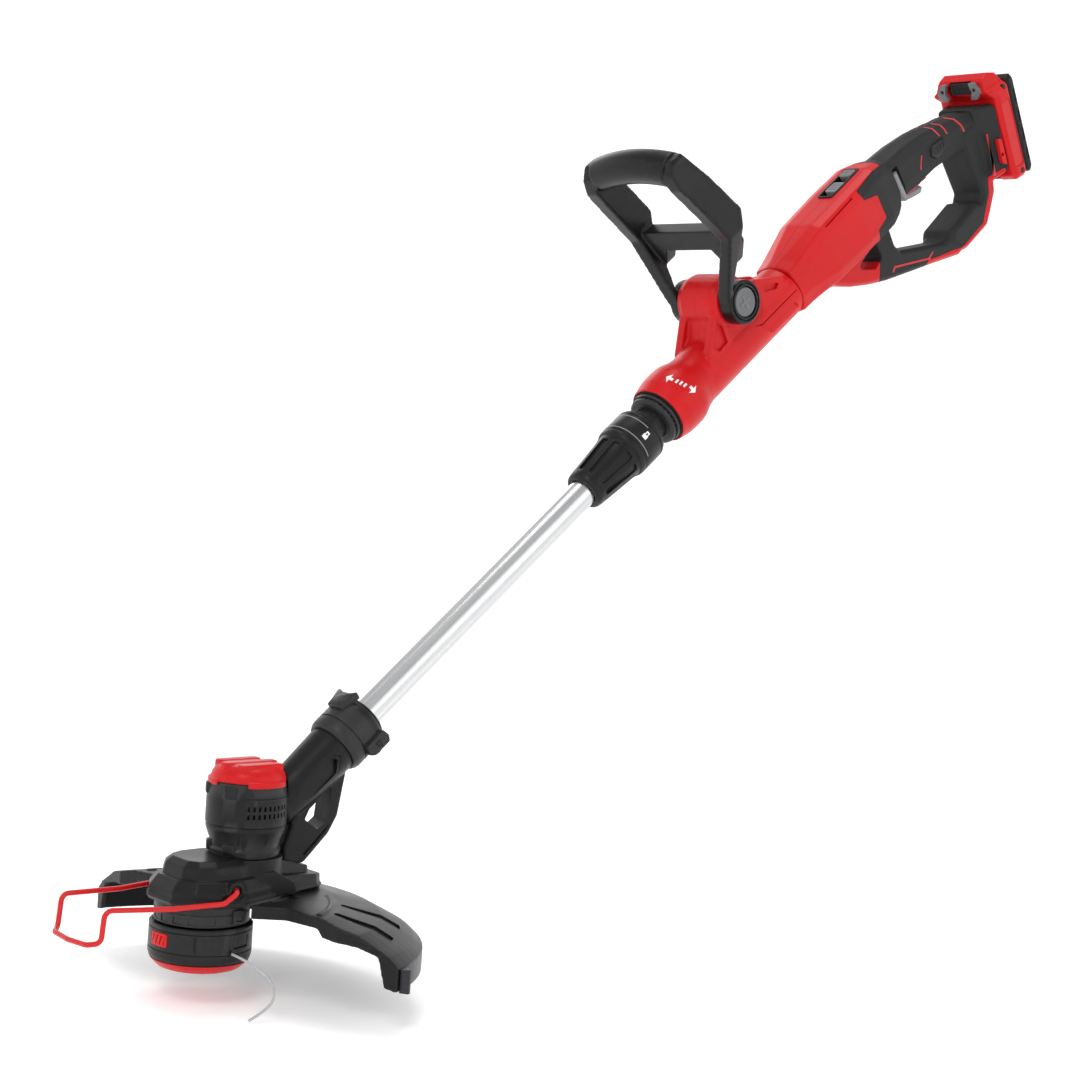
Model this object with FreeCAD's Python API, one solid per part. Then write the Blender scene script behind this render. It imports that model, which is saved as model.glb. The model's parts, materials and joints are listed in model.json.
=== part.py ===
import FreeCAD, Part
import os
from math import cos, hypot, pi, radians, sin, tan
from FreeCAD import Vector

# Cordless string trimmer, held ready to cut. +X points back along the tool, +Z up, -Y is the user's
# left. The origin is the middle of the rear grip. All sizes are in millimetres.
#
# Parts on the shaft are drawn in the shaft frame: X runs up the shaft from the head clamp ("station"),
# Z is the height above the shaft axis. Parts of the cutting head are drawn in the head frame: Z runs up
# the spool axis from the glide face, X points back.

# --- driving dimensions -------------------------------------------------------------------------------
SHAFT_ANGLE = 39.7
GRIP_STATION = 810.0
NECK_TOP_X = 145.6
NECK_TOP_Z = 192.3

TUBE_RADIUS = 12.7
TUBE_WALL = 1.2
UPPER_TUBE_RADIUS = 15.6
UPPER_TUBE_BORE = 13.2

COLLAR_STATION = 395.0
COLLAR_RADIUS = 31.0
BARREL_RADIUS = 25.5
BARREL_END = 588.0
SHELL_WALL = 3.0

AUX_PIVOT = (509.0, 43.0)
AUX_DISC_RADIUS = 19.0
YOKE_RADIUS = 25.0
YOKE_HALF_WIDTH = 23.0
ARM_THICKNESS = 14.0

HANDLE_HALF_WIDTH = 16.0
BODY_HALF_WIDTH = 28.0
DOCK_HALF_WIDTH = 32.0
DOCK_FRONT_HALF_WIDTH = 21.0
BATTERY_HALF_WIDTH = 36.5
DOCK_LEAN = 10.8

SPOOL_CAP_RADIUS = 39.0
SPOOL_CAP_TOP = 40.5
GEAR_CASE_RADIUS = 36.0
MOTOR_X = 35.0
MOTOR_HOUSING_RADIUS = 31.0
GUARD_RADIUS = 168.0
GUARD_NEAR_TIP = -66.0
GUARD_FAR_TIP = 86.0
LINE_RADIUS = 1.0
GUIDE_PIVOT = (2.0, 70.0)
GUIDE_WIRE_RADIUS = 2.0

GEAR_MODULE = 1.4
PINION_TEETH = 10
GEAR_TEETH = 40

nodes = {}


# --- drawing helpers ----------------------------------------------------------------------------------
def on_shaft(shape):
    """Move a shape from the shaft frame to the trimmer's frame."""
    moved = shape.copy()
    moved.translate(Vector(-GRIP_STATION, 0, 0))
    moved.rotate(Vector(0, 0, 0), Vector(0, 1, 0), -SHAFT_ANGLE)
    return moved


def in_head(shape):
    """Move a shape from the head frame to the trimmer's frame."""
    lean = radians(SHAFT_ANGLE)
    moved = shape.copy()
    back = -NECK_TOP_X - GRIP_STATION * cos(lean)
    moved.translate(Vector(back, 0, -NECK_TOP_Z - GRIP_STATION * sin(lean)))
    return moved


def keep(name, shape, place):
    """Record a finished sub-part under its node name."""
    nodes[name] = place(shape.removeSplitter())


def side_point(y):
    return lambda a, b: Vector(a, y, b)


def plan_point(z):
    return lambda a, b: Vector(a, b, z)


def cross_point(x):
    return lambda a, b: Vector(x, a, b)


def rounded_wire(points, radius, place):
    """Closed outline through flat points, with each corner rounded as far as its sides allow."""
    corners = []
    count = len(points)
    for index in range(count):
        here = Vector(points[index][0], points[index][1], 0)
        back = Vector(points[index - 1][0], points[index - 1][1], 0) - here
        ahead_point = points[(index + 1) % count]
        ahead = Vector(ahead_point[0], ahead_point[1], 0) - here
        half = back.getAngle(ahead) / 2
        if radius <= 0 or half > radians(88):
            corners.append((here, None, here))
            continue
        cut = min(radius / tan(half), 0.45 * back.Length, 0.45 * ahead.Length)
        back.normalize()
        ahead.normalize()
        bisector = back + ahead
        bisector.normalize()
        reach = cut / cos(half) - cut * tan(half)
        corners.append((here + back * cut, here + bisector * reach, here + ahead * cut))
    edges = []
    for index, (start, middle, end) in enumerate(corners):
        if middle is not None:
            spots = [place(p.x, p.y) for p in (start, middle, end)]
            edges.append(Part.Arc(*spots).toShape())
        following = corners[(index + 1) % count][0]
        if (following - end).Length > 1e-6:
            edges.append(Part.makeLine(place(end.x, end.y), place(following.x, following.y)))
    return Part.Wire(edges)


def grown(points, distance):
    """The outline moved outward by a distance, or inward where it is negative, corner by corner."""
    count = len(points)
    area = sum(points[i - 1][0] * points[i][1] - points[i][0] * points[i - 1][1] for i in range(count))
    turn = 1 if area > 0 else -1
    moved = []
    for i in range(count):
        ax, az = points[i - 1]
        bx, bz = points[i]
        cx, cz = points[(i + 1) % count]
        first = (bz - az, ax - bx)
        second = (cz - bz, bx - cx)
        n1 = (first[0] / hypot(*first), first[1] / hypot(*first))
        n2 = (second[0] / hypot(*second), second[1] / hypot(*second))
        scale = turn * distance / (1 + n1[0] * n2[0] + n1[1] * n2[1])
        moved.append((bx + (n1[0] + n2[0]) * scale, bz + (n1[1] + n2[1]) * scale))
    return moved


def slab(points, start, end, radius=0.0, place=side_point):
    """A flat outline given thickness from one plane to another."""
    face = Part.Face(rounded_wire(points, radius, place(start)))
    return face.extrude(place(end)(0, 0) - place(start)(0, 0))


def pillow(points, half_width, bevel, radius):
    """A slab about the middle plane whose outer edges are bevelled all round."""
    inset = grown(points, -bevel)
    side = half_width - bevel
    body = slab(points, -side, side, radius)
    for sign in (-1, 1):
        outer = rounded_wire(points, radius, side_point(sign * side))
        inner = rounded_wire(inset, radius, side_point(sign * half_width))
        body = body.fuse(Part.makeLoft([outer, inner], True, True))
    return body


def box(x, y, z):
    """A box from three pairs of limits."""
    return Part.makeBox(x[1] - x[0], y[1] - y[0], z[1] - z[0], Vector(x[0], y[0], z[0]))


def turned(points, axis="x", centre=(0.0, 0.0)):
    """A solid of revolution from points (distance along the axis, radius)."""
    if axis == "x":
        spots = [Vector(a, 0, r) for a, r in points]
        solid = Part.Face(Part.makePolygon(spots + spots[:1])).revolve(Vector(0, 0, 0), Vector(1, 0, 0), 360)
    else:
        spots = [Vector(r, 0, a) for a, r in points]
        solid = Part.Face(Part.makePolygon(spots + spots[:1])).revolve(Vector(0, 0, 0), Vector(0, 0, 1), 360)
        solid.translate(Vector(centre[0], centre[1], 0))
    return solid


def ring(start, end, outer, bore, axis="x", centre=(0.0, 0.0)):
    return turned([(start, bore), (start, outer), (end, outer), (end, bore)], axis, centre)


def rod(start, end, radius, axis="x", centre=(0.0, 0.0)):
    return turned([(start, 0), (start, radius), (end, radius), (end, 0)], axis, centre)


def cross_rod(x, z, y_start, y_end, radius):
    """A round pin lying across the tool."""
    return Part.makeCylinder(radius, y_end - y_start, Vector(x, y_start, z), Vector(0, 1, 0))


def section(station, half_width, top, bottom, radius):
    """A rounded rectangle across the shaft."""
    corners = [(-half_width, bottom), (half_width, bottom), (half_width, top), (-half_width, top)]
    return rounded_wire(corners, radius, cross_point(station))


def loft(wires):
    return Part.makeLoft(wires, True, True)


def fused(shapes):
    whole = shapes[0]
    for shape in shapes[1:]:
        whole = whole.fuse(shape)
    return whole


def coil(radius, wire, length, turns):
    """A spring of rings joined end to end, drawn as a stack of close rings along X."""
    pitch = length / turns
    path = Part.makeHelix(pitch, length - pitch, radius)
    path.translate(Vector(0, 0, pitch / 2))
    start = Vector(radius, 0, pitch / 2)
    profile = Part.Wire(Part.makeCircle(wire / 2, start, Vector(0, 1, pitch / (2 * pi * radius))))
    spring = Part.Wire(path.Edges).makePipeShell([profile], True, True)
    spring.rotate(Vector(0, 0, 0), Vector(0, 1, 0), 90)
    return spring


def halves(name, shape, place, gap=0.05):
    """Split a casing at the tool's middle plane into its two shells."""
    reach = 600.0
    for side, sign in (("left", -1), ("right", 1)):
        y = (-reach, -gap) if sign < 0 else (gap, reach)
        keep(f"{name}_{side}", shape.common(box((-reach, 2 * reach), y, (-reach, reach))), place)


# --- front barrel: collar, tapering barrel and the yoke of the auxiliary handle --------------------------
def yoke_outline(shrink=0.0):
    x, z = AUX_PIVOT
    reach = YOKE_RADIUS - shrink
    crown = [(x + reach * cos(radians(a)), z + reach * sin(radians(a))) for a in range(190, -20, -22)]
    front = 450.0 + shrink
    return crown + [(585.0, 19.0), (585.0, 0.0), (front, 0.0), (front + 6, 16.0), (front + 28, 28.0)]


def barrel_form(shrink):
    r = BARREL_RADIUS - shrink
    tube = turned([(434, 0), (434, r + 3), (452, r), (BARREL_END, r), (BARREL_END, 0)])
    yoke = slab(yoke_outline(shrink), -YOKE_HALF_WIDTH + shrink, YOKE_HALF_WIDTH - shrink)
    return tube.fuse(yoke.common(box((400, BARREL_END), (-60, 60), (-60, 120))))


def make_front_barrel():
    lip = COLLAR_STATION
    bore = UPPER_TUBE_RADIUS + 0.4
    collar = turned([(lip, 26.8), (lip, 27.8), (lip + 8, COLLAR_RADIUS - 1.8), (lip + 18, COLLAR_RADIUS),
                     (lip + 31, COLLAR_RADIUS), (lip + 40, COLLAR_RADIUS - 3), (lip + 52, BARREL_RADIUS),
                     (lip + 57, BARREL_RADIUS), (lip + 57, bore), (lip + 20, bore), (lip + 20, 26.8)])
    hollow = barrel_form(SHELL_WALL).common(box((lip + 57, BARREL_END + 1), (-60, 60), (-60, 120)))
    shell = barrel_form(0).cut(rod(430, lip + 57, 60)).fuse(collar).cut(hollow)
    for station in (470, 556):
        shell = shell.fuse(ring(station, station + 5, BARREL_RADIUS - 1, bore))
    x, z = AUX_PIVOT
    shell = shell.fuse(cross_rod(x, z, -YOKE_HALF_WIDTH, YOKE_HALF_WIDTH, 11))
    shell = shell.cut(cross_rod(x, z, -60, 60, 6.0)).cut(rod(440, 580, bore))
    halves("front_barrel", shell, on_shaft)


# --- handle form: main body, grip, column, lower bar and dock ---------------------------------------------
BODY_STATIONS = (
    # station, half width, top, bottom, corner radius
    (BARREL_END, 25.5, 25.5, -25.5, 18),
    (604, 26.0, 29.0, -25.0, 16),
    (643, BODY_HALF_WIDTH, 35.5, -27.0, 13),
    (694, BODY_HALF_WIDTH, 37.5, -28.0, 13),
    (735, 26.0, 38.0, -28.0, 13),
    (752, 22.0, 34.5, -26.0, 13),
    (770, 18.5, 29.5, -21.0, 14),
)
GRIP_STATIONS = (
    (769, 18.5, 29.5, -21.0, 14),
    (797, 17.5, 28.0, -22.5, 14),
    (829, 17.0, 22.0, -22.5, 14),
    (853, 16.5, 15.0, -26.5, 13),
    (892, 18.0, 3.0, -33.0, 12),
)
KEEL = [(610, -10), (608, -20), (622, -22), (638, -27), (650, -37), (662, -46), (684, -58.5), (708, -70),
        (770, -94), (815, -113), (865, -110.5), (877, -101), (893, -88), (897, -77), (897, -20),
        (873, -20), (873, -80), (866, -84), (858, -79), (812, -82), (799, -87), (740, -57), (736, -48),
        (738, -25), (748, -18), (748, 0), (640, 0)]
LOOP_OPENING = [(674, -35), (695, -31), (712, -30.5), (712.5, -47), (700, -52)]
DOCK_FRONT = (886.5, -76.0, 898.0, 4.0, 6.0)
DOCK_BACK = (907.5, -75.0, 921.0, -4.0, 9.0)
RED_REGION = [(560, -90), (712, -90), (708, -44), (709, -13.5), (726, -10.5), (726, 15.5), (708.5, 21),
              (703, 31), (741, 34), (760, 26), (762, 60), (560, 60)]


def body_sections(stations, shrink):
    return [section(s, w - shrink, t - shrink, b + shrink, max(r - shrink, 4)) for s, w, t, b, r in stations]


def dock_form(shrink):
    """The dock widens from the column to the battery face."""
    wires = []
    for low_x, low_z, high_x, high_z, corner in (DOCK_FRONT, DOCK_BACK):
        half = (DOCK_FRONT_HALF_WIDTH if low_x == DOCK_FRONT[0] else DOCK_HALF_WIDTH) - shrink
        spots = []
        for y, t in ((-half + corner, 0), (half - corner, 0), (half, 0.1), (half, 0.9), (half - corner, 1),
                     (-half + corner, 1), (-half, 0.9), (-half, 0.1)):
            rise = shrink * (1 - 2 * t)
            spots.append(Vector(low_x + (high_x - low_x) * t, y, low_z + (high_z - low_z) * t + rise))
        wires.append(Part.makePolygon(spots + spots[:1]))
    return loft(wires)


def handle_outer():
    parts = [loft(body_sections(BODY_STATIONS, 0)), loft(body_sections(GRIP_STATIONS, 0)),
             pillow(KEEL, HANDLE_HALF_WIDTH, 3.0, 4.0), dock_form(0)]
    return fused(parts).cut(slab(LOOP_OPENING, -40, 40, 3.0))


def handle_hollow():
    keel = slab(grown(KEEL, -SHELL_WALL), -HANDLE_HALF_WIDTH + SHELL_WALL, HANDLE_HALF_WIDTH - SHELL_WALL)
    parts = [loft(body_sections(BODY_STATIONS, SHELL_WALL)), loft(body_sections(GRIP_STATIONS, SHELL_WALL)),
             keel, dock_form(SHELL_WALL)]
    return fused(parts).cut(slab(grown(LOOP_OPENING, SHELL_WALL), -40, 40, 3.0))


def make_handle():
    shell = handle_outer().cut(handle_hollow())
    screws = []
    for x, z, half in HANDLE_SCREWS:
        floor = half - 5.0
        shell = shell.fuse(cross_rod(x, z, 2 - half, half - 2, 5.5)).cut(cross_rod(x, z, -15.2, 60, 2.1))
        shell = shell.cut(cross_rod(x, z, floor, 60, 3.8))
        head = cross_rod(x, z, floor + 0.1, half - 2.5, 3.5)
        screws.append(cross_rod(x, z, -15.0, floor + 1, 2.0).fuse(head))
    shell = shell.cut(trigger_slot()).cut(slider_slot()).cut(lock_off_slot()).cut(dock_slot())
    red = slab(RED_REGION, -60, 60)
    trim = slab(TRIM, -60, 60)
    halves("main_housing", shell.common(red), on_shaft)
    halves("rear_handle", shell.cut(red).cut(trim), on_shaft)
    keep("lower_trim", shell.cut(red).common(trim), on_shaft)
    keep("housing_screws", Part.makeCompound(screws), on_shaft)
    board = box((650, 690), (-16, 16), (-2, 0)).fuse(box((656, 668), (-12, 12), (0, 12)))
    keep("control_board", board, on_shaft)


# station, height and half width of the body there; the screws go in from the right
HANDLE_SCREWS = ((638, -12, 27.8), (728, -8, 26.2), (757, -14, 20.5))
TRIM = [(772, -88), (815, -107), (861, -105), (873, -96), (888, -84), (893, -70), (905, -70), (905, -95),
        (870, -130), (800, -130), (760, -110)]


# --- trigger, lock-off button, speed slider and feed button ---------------------------------------------
TRIGGER = [(766.5, 11), (773, 11), (774.5, -17), (803, -23.5), (805, -27), (800, -29.5), (782, -27),
           (766.5, -16), (767.5, -2)]
TRIGGER_TRAVEL = 4.5


def trigger_slot():
    notch = box((765.5, 774.0), (-40, 40), (-32, 11.6 + TRIGGER_TRAVEL))
    return notch.fuse(box((765.5, 806), (-11.6, 11.6), (-32, -16)))


def make_trigger():
    lever = slab(TRIGGER, -11, 11, 1.5)
    stem = box((778, 790), (-5, 5), (-22, -9))
    keep("trigger", lever.fuse(stem), on_shaft)
    switch = box((776, 806), (-8, 8), (2, 18)).fuse(box((781, 789), (-4, 4), (-2, 2)))
    keep("trigger_switch", switch, on_shaft)
    spring = coil(2.6, 0.9, 7.0, 4)
    spring.rotate(Vector(0, 0, 0), Vector(0, 1, 0), -90)
    spring.translate(Vector(799, 0, -21))
    keep("trigger_spring", spring, on_shaft)


LOCK_OFF = [(824, -2), (829, 5), (850, 3), (852, -8), (830, -11)]


def lock_off_slot():
    return slab(grown(LOCK_OFF, 0.5), -40, 40, 2.0)


def make_lock_off():
    button = slab(LOCK_OFF, -19.5, 19.5, 2.0)
    keep("lock_off_button", button, on_shaft)


SLIDER = (692.0, 732.0)
SLIDER_TOP = 37.5


def slider_slot():
    start, end = SLIDER
    return box((start, end), (-9.5, 9.5), (SLIDER_TOP - 8, SLIDER_TOP + 4))


def make_sliders():
    start, end = SLIDER
    frame = box((start - 1.5, end + 1.5), (-11.5, 11.5), (SLIDER_TOP - 12, SLIDER_TOP - 6.5))
    frame = frame.cut(box((start + 4, end - 4), (-4, 4), (0, SLIDER_TOP)))
    keep("slider_tray", frame, on_shaft)
    speed = box((start + 2, start + 18), (-8.5, 8.5), (SLIDER_TOP - 6, SLIDER_TOP + 1))
    stem = box((start + 8, start + 13), (-3, 3), (SLIDER_TOP - 14, SLIDER_TOP - 5))
    keep("speed_slider", speed.fuse(stem), on_shaft)
    feed = box((end - 14, end - 1), (-8.5, 8.5), (SLIDER_TOP - 4, SLIDER_TOP + 1.5))
    stem = box((end - 10, end - 5), (-3, 3), (SLIDER_TOP - 12, SLIDER_TOP - 3))
    keep("feed_button", feed.fuse(stem), on_shaft)


# --- battery and dock ---------------------------------------------------------------------------------
def leaned(shape):
    """Move a shape from the dock frame (X out of the dock's face, Z up along it) to the shaft frame."""
    moved = shape.copy()
    moved.rotate(Vector(0, 0, 0), Vector(0, 1, 0), DOCK_LEAN)
    moved.translate(Vector(DOCK_BACK[0], 0, DOCK_BACK[1]))
    return moved


def dock_frame(shape):
    return on_shaft(leaned(shape))


def dock_slot():
    return leaned(box((-8, 1), (-23, 23), (6, 102)))


def make_dock():
    block = box((-6, -0.3), (-22, 22), (10, 62))
    for side in (-1, 1):
        for z in (20, 34, 48):
            block = block.fuse(box((-0.4, 6), (side * 12 - 0.6, side * 12 + 0.6), (z, z + 8)))
    keep("terminal_block", block, dock_frame)


BATTERY_SIDE = [(0.5, -5), (6, -11), (20, -11), (25, -5), (25, 84), (17, 98), (6, 102), (-4, 98), (-9, 84),
                (-3, 79), (0.5, 76)]
LATCH_POCKET = ((-20, 1), (-13, 13), (84, 97))
BATTERY_SCREWS = ((14, -4), (14, 84))


def battery_screws(depth, radius):
    """The four case screws, two on each side, from a depth out to the case's face."""
    rods = []
    for x, z in BATTERY_SCREWS:
        for sign in (-1, 1):
            low, high = sorted((sign * depth, sign * BATTERY_HALF_WIDTH))
            rods.append(cross_rod(x, z, low, high, radius))
    return rods


def make_battery():
    case = pillow(BATTERY_SIDE, BATTERY_HALF_WIDTH, 3.0, 3.0)
    inner = slab(grown(BATTERY_SIDE, -2.5), -BATTERY_HALF_WIDTH + 2.5, BATTERY_HALF_WIDTH - 2.5)
    inner = inner.common(box((4, 60), (-60, 60), (-60, 76)))
    window = box((-1, 10), (-16, 16), (-20, 60))
    shell = case.cut(inner).cut(window).cut(box(*LATCH_POCKET)).cut(box((23.5, 40), (-60, 60), (-40, 140)))
    for hole in battery_screws(BATTERY_HALF_WIDTH - 3.2, 2.3):
        shell = shell.cut(hole)
    keep("battery_case", shell, dock_frame)
    base = [(23.7, -9), (23.7, 88), (32, 92), (36, 86), (36, -6), (32, -12)]
    plate = pillow(base, 34.0, 2.0, 2.0).cut(box((30, 60), (-7, 7), (26, 42)))
    keep("battery_base", plate, dock_frame)
    cells = []
    for index in range(3):
        cells.append(Part.makeCylinder(9.0, 65.0, Vector(13.3, -18.6 + 18.6 * index, 4), Vector(0, 0, 1)))
    keep("battery_cells", Part.makeCompound(cells), dock_frame)
    keep("battery_latch", box((-6.5, -1.5), (-12.5, 12.5), (84.6, 96.4)), dock_frame)
    keep("gauge_button", box((32, 37), (-6.4, 6.4), (28, 40)), dock_frame)
    keep("battery_screws", Part.makeCompound(battery_screws(BATTERY_HALF_WIDTH - 3.0, 2.2)), dock_frame)


# --- auxiliary handle ----------------------------------------------------------------------------------
ARM_SIDE = [(491, 30), (491, 50), (505, 112), (479, 184), (486, 200), (499, 200), (527, 128), (528, 44),
            (525, 30)]
# outline of each arm seen along the tool: distance out from the middle plane, height
ARM_FRONT_LEFT = [(25, 20), (39, 20), (39, 58), (62, 116), (59, 205), (45, 205), (48, 112), (25, 60)]
ARM_FRONT_RIGHT = [(25, 20), (33, 20), (33, 46), (62, 112), (59, 205), (45, 205), (48, 114), (25, 56)]
GRIP_ARCH_RADIUS = 173.0
GRIP_CENTRE = (493.0, 196.0)


def aux_arm(front, sign):
    """One bent arm: its side outline kept within its outline seen along the tool."""
    side = slab(ARM_SIDE, -70, 70)
    return side.common(slab([(sign * y, z) for y, z in front], 400, 600, 0.0, cross_point))


def arched(radius, bore, half_angle):
    """A round bar bent to the arch of the auxiliary grip."""
    x, z = GRIP_CENTRE
    pivot = Vector(x, 0, z - GRIP_ARCH_RADIUS)
    face = Part.Face(Part.Wire(Part.makeCircle(radius, Vector(x, 0, z), Vector(0, 1, 0))))
    face.rotate(pivot, Vector(1, 0, 0), half_angle)
    bar = face.revolve(pivot, Vector(1, 0, 0), -2 * half_angle)
    return bar.cut(arched(bore, 0, half_angle + 1)) if bore else bar


BRACE = [(-50, 118), (50, 118), (50, 104), (38, 84), (30, 84), (24, 98), (-24, 98), (-30, 84), (-38, 84),
         (-50, 104)]


def make_aux_handle():
    x, z = AUX_PIVOT
    left = aux_arm(ARM_FRONT_LEFT, -1).fuse(cross_rod(x, z, -39, -25, AUX_DISC_RADIUS))
    right = aux_arm(ARM_FRONT_RIGHT, 1).fuse(cross_rod(x, z, 25, 33, AUX_DISC_RADIUS))
    frame = left.fuse(slab(BRACE, 508, 522, 0.0, cross_point)).fuse(right)
    frame = frame.fuse(arched(11.5, 0, 17.5)).cut(cross_rod(x, z, -60, 60, 6.06))
    frame = frame.cut(cross_rod(x, z, -45, -31, 14.0)).cut(cross_rod(x, z, 33.05, 60, 10.3))
    keep("aux_frame", frame, on_shaft)
    keep("aux_grip", arched(15.0, 11.6, 14.0), on_shaft)
    pin = cross_rod(x, z, -30, 38, 6.0).fuse(cross_rod(x, z, 33.2, 38, 10.0))
    keep("aux_pivot_pin", pin, on_shaft)
    keep("aux_button", cross_rod(x, z, -38.5, -34.0, 13.6), on_shaft)


# --- rotating coupling and telescopic joint -------------------------------------------------------------
def make_coupling():
    r = UPPER_TUBE_RADIUS
    tube = turned([(372, UPPER_TUBE_BORE), (372, r - 1), (376, r), (574, r), (574, UPPER_TUBE_BORE)])
    keep("upper_tube", tube, on_shaft)
    seat = turned([(330, UPPER_TUBE_BORE), (330, 16.5), (371.9, 16.5), (371.9, UPPER_TUBE_BORE)])
    keep("collar_seat", seat, on_shaft)
    keep("collet", turned([(310, 13.1), (310, 14.6), (329.9, 16.5), (329.9, 13.1)]), on_shaft)
    sleeve = turned([(385, r + 0.4), (385, 24.5), (387, 26), (406, 26), (406, r + 0.4)])
    keep("release_sleeve", sleeve, on_shaft)
    spring = coil(19.5, 1.4, 8.0, 3)
    spring.translate(Vector(406.5, 0, 0))
    keep("release_spring", spring, on_shaft)


def make_lock_collar():
    body = turned([(285, 13.1), (285, 15.5), (288, 17.5), (338, 22.5), (342, 24.5), (345, 26), (368, 26),
                   (371.5, 24.5), (371.5, 17.0), (330, 17.0), (308, 15.1), (308, 13.1)])
    keep("lock_collar", body, on_shaft)


def make_lower_tube():
    keep("lower_tube", ring(-70, 392, TUBE_RADIUS, TUBE_RADIUS - TUBE_WALL), on_shaft)
    keep("shaft_lead", rod(-60, 385, 3.0), on_shaft)


# --- neck -------------------------------------------------------------------------------------------------
def make_neck():
    socket = turned([(-112, 0), (-112, 16), (-84, 19), (-46, 20.5), (-4, 20.5), (-4, 0)])
    shell = socket.cut(rod(-72, 0, TUBE_RADIUS + 0.05)).cut(rod(-109, -60, 14.0)).cut(rod(-80, -70, 12.0))
    shell = on_shaft(shell)
    rib = slab([(122, 152), (122.5, 145), (117, 113), (109, 99), (87, 78), (66, 74), (66, 91), (74, 113),
                (80, 124), (90, 134), (106, 148)], -9, 9, 3.0)
    rib = rib.cut(slab([(109, 138), (106, 110), (97, 103.5), (84, 112), (88, 120)], -20, 20, 2.0))
    shell = shell.fuse(in_head(rib))
    housing = in_head(rod(80, 170, MOTOR_HOUSING_RADIUS + 0.3, "z", (MOTOR_X, 0)))
    shell = shell.cut(housing).cut(on_shaft(rod(-72, 0, TUBE_RADIUS + 0.05))).cut(in_head(dome_form(-0.2)))
    reach = 900.0
    for side, y in (("left", (-60, -0.05)), ("right", (0.05, 60))):
        part = shell.common(box((-reach, reach), y, (-reach, reach)))
        nodes[f"neck_{side}"] = part.removeSplitter()
    clamp = turned([(-42, 20.6), (-42, 23), (-38, 24.6), (-15, 24.6), (-8, 22.6), (-8, 20.6)])
    tab = slab([(-20, -8), (-20, 8), (-5, 11), (-5, -11)], 20.7, 27, 2.0, plan_point)
    knob = rod(-22, -8, 4, "x")
    knob.translate(Vector(0, -6, -24))
    clamp = clamp.fuse(tab).fuse(knob).cut(rod(-60, 20, 20.6))
    keep("clamp_ring", clamp, on_shaft)


# --- motor and its housing ---------------------------------------------------------------------------------
def make_motor():
    axis = (MOTOR_X, 0.0)
    r = MOTOR_HOUSING_RADIUS
    profile = [(88, 0), (88, r - 7), (100, r - 4), (110, r - 0.5), (118, r), (132, r), (145, r - 2.5),
               (145, 0)]
    inner = [(91, 0), (91, r - 9.5), (101, r - 6.5), (111, r - 3), (132, r - 3), (144, r - 5), (146, r - 5),
             (146, 0)]
    housing = turned(profile, "z", axis).cut(turned(inner, "z", axis)).cut(rod(80, 100, 6, "z", axis))
    for side in (-1, 1):
        for row in (119.5, 126.0):
            for index in range(9):
                slot = box((-1.0, 1.0), (r - 8, r + 2), (row, row + 4.8))
                slot.rotate(Vector(0, 0, 0), Vector(0, 0, 1), side * 90 - 90 + side * (-32 + 8 * index))
                slot.translate(Vector(MOTOR_X, 0, 0))
                housing = housing.cut(slot)
    keep("motor_housing", housing, in_head)
    crown = [(145.1, 0), (145.1, r - 2.5), (152, r - 4), (157, r - 8), (159, r - 12), (159, 0)]
    cap = turned(crown, "z", axis)
    cap = cap.cut(turned([(145, 0), (145, r - 5.5), (151, r - 7), (155, r - 11), (156, 0)], "z", axis))
    keep("motor_cap", cap, in_head)
    can = ring(103, 142, 23.5, 21.0, "z", axis).fuse(ring(103, 105, 22, 3.2, "z", axis))
    keep("motor_can", can, in_head)
    keep("rotor", rod(108, 138, 20.0, "z", axis).fuse(rod(61.5, 141, 2.5, "z", axis)), in_head)


def gear(teeth, bottom, top, bore, centre, phase):
    """A spur gear with straight-sided teeth and running clearance."""
    pitch_radius = GEAR_MODULE * teeth / 2
    root = pitch_radius - 1.25 * GEAR_MODULE
    tip = pitch_radius + 0.8 * GEAR_MODULE
    spots = []
    for index in range(teeth):
        middle = 2 * pi * index / teeth + phase
        for radius, share in ((root, -0.30), (tip, -0.10), (tip, 0.10), (root, 0.30)):
            angle = middle + 2 * pi * share / teeth
            spots.append((centre[0] + radius * cos(angle), centre[1] + radius * sin(angle)))
    wheel = slab(spots, bottom, top, 0.0, plan_point)
    return wheel.cut(rod(bottom - 1, top + 1, bore, "z", centre))


def make_gears():
    keep("pinion", gear(PINION_TEETH, 63, 71, 2.5, (MOTOR_X, 0), pi), in_head)
    keep("drive_gear", gear(GEAR_TEETH, 63, 71, 4.0, (0, 0), pi / GEAR_TEETH), in_head)
    keep("spindle", rod(15.0, 80, 4.0, "z"), in_head)
    bearings = [ring(49.5, 56, 11, 4.02, "z"), ring(74, 80, 8, 4.02, "z")]
    keep("spindle_bearings", Part.makeCompound(bearings), in_head)


# --- dome, gear case and guard ---------------------------------------------------------------------------
DOME_PLAN = [(-38, -16), (-28, -32), (-10, -40), (14, -40), (50, -29), (96, -14), (104, -8),
             (104, 8), (96, 14), (50, 29), (14, 40), (-10, 40), (-28, 32), (-38, 16)]


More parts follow.
